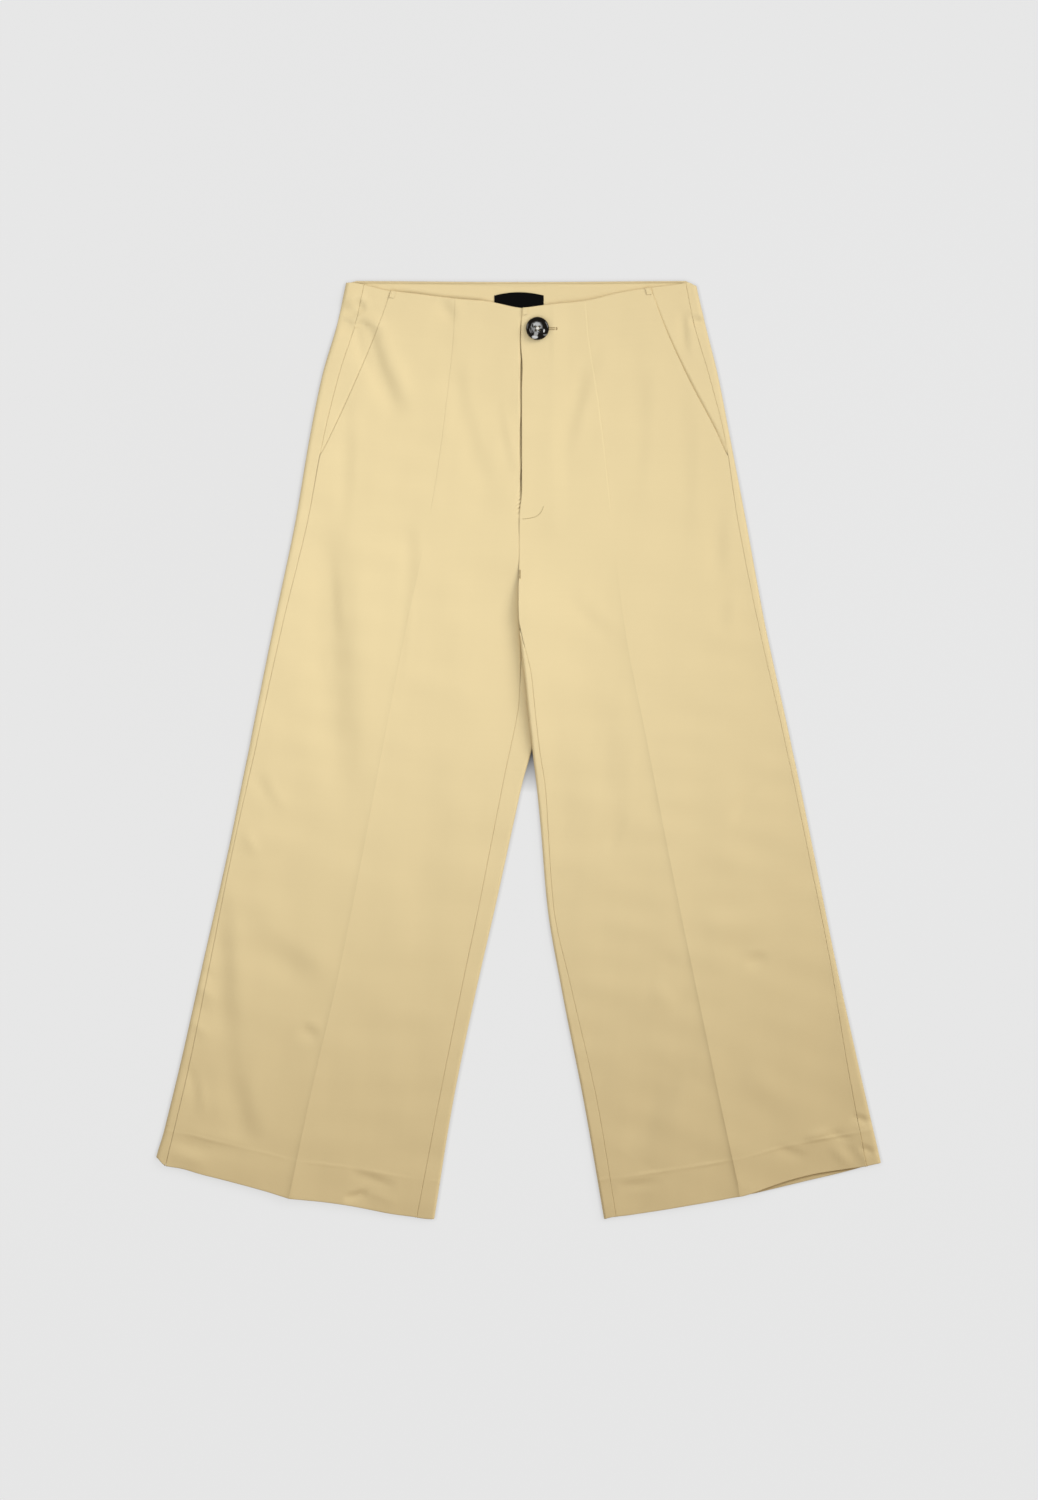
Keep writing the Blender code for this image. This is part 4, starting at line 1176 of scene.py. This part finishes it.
glinted_resin = new_finish("horn_resin_painted_glints", {"Roughness": 0.1, "Specular IOR Level": 0.4})
where = add_node(glinted_resin, "TexCoord")
stirred = add_node(glinted_resin, "TexNoise", {"Scale": 260.0, "Detail": 2.0})
stir = add_node(glinted_resin, "VectorMath", {1: (STIR * MM, STIR * MM, 0.0)}, operation="MULTIPLY_ADD")
wire(where, "Object", stirred, "Vector")
wire(stirred, "Color", stir, 0)
wire(where, "Object", stir, 2)
layer = None
for patch in PATCHES_AND_PAINTED_GLINTS:
    middle = np.array([BUTTON_X + patch.x + STIR / 2, BUTTON_Y + patch.y + STIR / 2, 0.0]) * MM
    size = (patch.across * MM, patch.along * MM, 1000.0)
    placed = add_node(glinted_resin, "Mapping", {"Location": middle, "Scale": size}, vector_type="TEXTURE")
    away = add_node(glinted_resin, "VectorMath", operation="LENGTH")
    inside = add_node(glinted_resin, "MapRange", PATCH_EDGE, interpolation_type="SMOOTHSTEP")
    grey = (patch.tone, patch.tone, patch.tone * 0.97, 1.0)
    over = add_node(glinted_resin, "Mix", {"A": HORN_BLACK, "B": grey}, data_type="RGBA")
    wire(stir, "Vector", placed, "Vector")
    wire(placed, "Vector", away, 0)
    wire(away, "Value", inside, "Value")
    wire(inside, "Result", over, "Factor")
    if layer:
        wire(layer, "Result", over, "A")
    layer = over
wire(layer, "Result", shader_of(glinted_resin), "Base Color")

centre = np.array([BUTTON_X, BUTTON_Y, BUTTON_SEAT]) * MM
bpy.ops.object.select_all(action="DESELECT")
bpy.ops.mesh.primitive_circle_add(
    vertices=64, radius=BUTTON_PROFILE[0].radius * MM, fill_type="NGON", location=centre
)
button = bpy.context.object
button.name = button.data.name = "button_turned"
bpy.ops.object.mode_set(mode="EDIT")
for before, after in zip(BUTTON_PROFILE, BUTTON_PROFILE[1:]):
    step = (0.0, 0.0, (after.height - before.height) * MM)
    bpy.ops.mesh.extrude_region_move(TRANSFORM_OT_translate={"value": step})
    share = after.radius / before.radius
    bpy.ops.transform.resize(value=(share, share, 1.0), center_override=centre)
bpy.ops.mesh.select_all(action="SELECT")
bpy.ops.mesh.normals_make_consistent(inside=False)
bpy.ops.object.mode_set(mode="OBJECT")
bpy.ops.object.transform_apply(location=True, rotation=True, scale=True)
for i in range(4):
    turn = np.radians(45 + 90 * i)
    reach = HOLE_OFFSET * 2**0.5 * MM
    bpy.ops.mesh.primitive_cylinder_add(
        vertices=20,
        radius=HOLE_RADIUS * MM,
        depth=DRILL_LENGTH * MM,
        location=centre + (reach * np.cos(turn), reach * np.sin(turn), 0.0),
    )
    drill = bpy.context.object
    bpy.context.view_layer.objects.active = button
    hole = button.modifiers.new("Hole", "BOOLEAN")
    hole.operation = "DIFFERENCE"
    hole.solver = "EXACT"
    hole.object = drill
    bpy.ops.object.modifier_apply(modifier=hole.name)
    bpy.data.objects.remove(drill)
softened = button.modifiers.new("Softened", "BEVEL")
softened.width = EDGE_SOFTENING * MM
softened.segments = 2
softened.limit_method = "ANGLE"
softened.angle_limit = np.radians(50)
bpy.ops.object.modifier_apply(modifier=softened.name)
bpy.ops.object.select_all(action="DESELECT")
button.select_set(True)
bpy.ops.object.shade_smooth_by_angle(angle=np.radians(40))
button.data.materials.append(glinted_resin)
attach(button, "root")
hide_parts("button")

PALE_THREAD_COLOUR = (0.78, 0.74, 0.64, 1.0)
PALE_THREAD = new_finish("button_thread", {"Base Color": PALE_THREAD_COLOUR, "Roughness": 0.6})
STRAND_HEIGHT, STRAND_HALF_LENGTH, STRAND_ASIDE = 2.85, 1.9, 0.35
strands = []
middle = np.array([BUTTON_X, BUTTON_Y, BUTTON_SEAT + STRAND_HEIGHT])
for lean in (45, 135):
    way = np.array([np.cos(np.radians(lean)), np.sin(np.radians(lean)), 0.0])
    aside = np.array([-way[1], way[0], 0.0])
    for beside in (-STRAND_ASIDE, STRAND_ASIDE):
        strands.append([middle + end * STRAND_HALF_LENGTH * way + beside * aside for end in (-1, 1)])
cross = stitches("button_cross", strands, thickness=0.8)
cross.data.materials[0] = PALE_THREAD

SHANK_RADIUS, SHANK_IN_BUTTON = 1.2, 0.2
shank_foot = front_surface("left", BUTTON_X, BUTTON_DROP)[2]
bpy.ops.object.select_all(action="DESELECT")
bpy.ops.mesh.primitive_cylinder_add(
    vertices=20,
    radius=SHANK_RADIUS * MM,
    depth=(BUTTON_SEAT + SHANK_IN_BUTTON - shank_foot) * MM,
    location=(BUTTON_X * MM, BUTTON_Y * MM, (BUTTON_SEAT + SHANK_IN_BUTTON + shank_foot) / 2 * MM),
)
shank = bpy.context.object
shank.name = shank.data.name = "button_shank"
bpy.ops.object.transform_apply(location=True, rotation=True, scale=True)
bpy.ops.object.shade_smooth_by_angle(angle=np.radians(40))
shank.data.materials.append(PALE_THREAD)
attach(shank, "root")


bpy.context.view_layer.update()
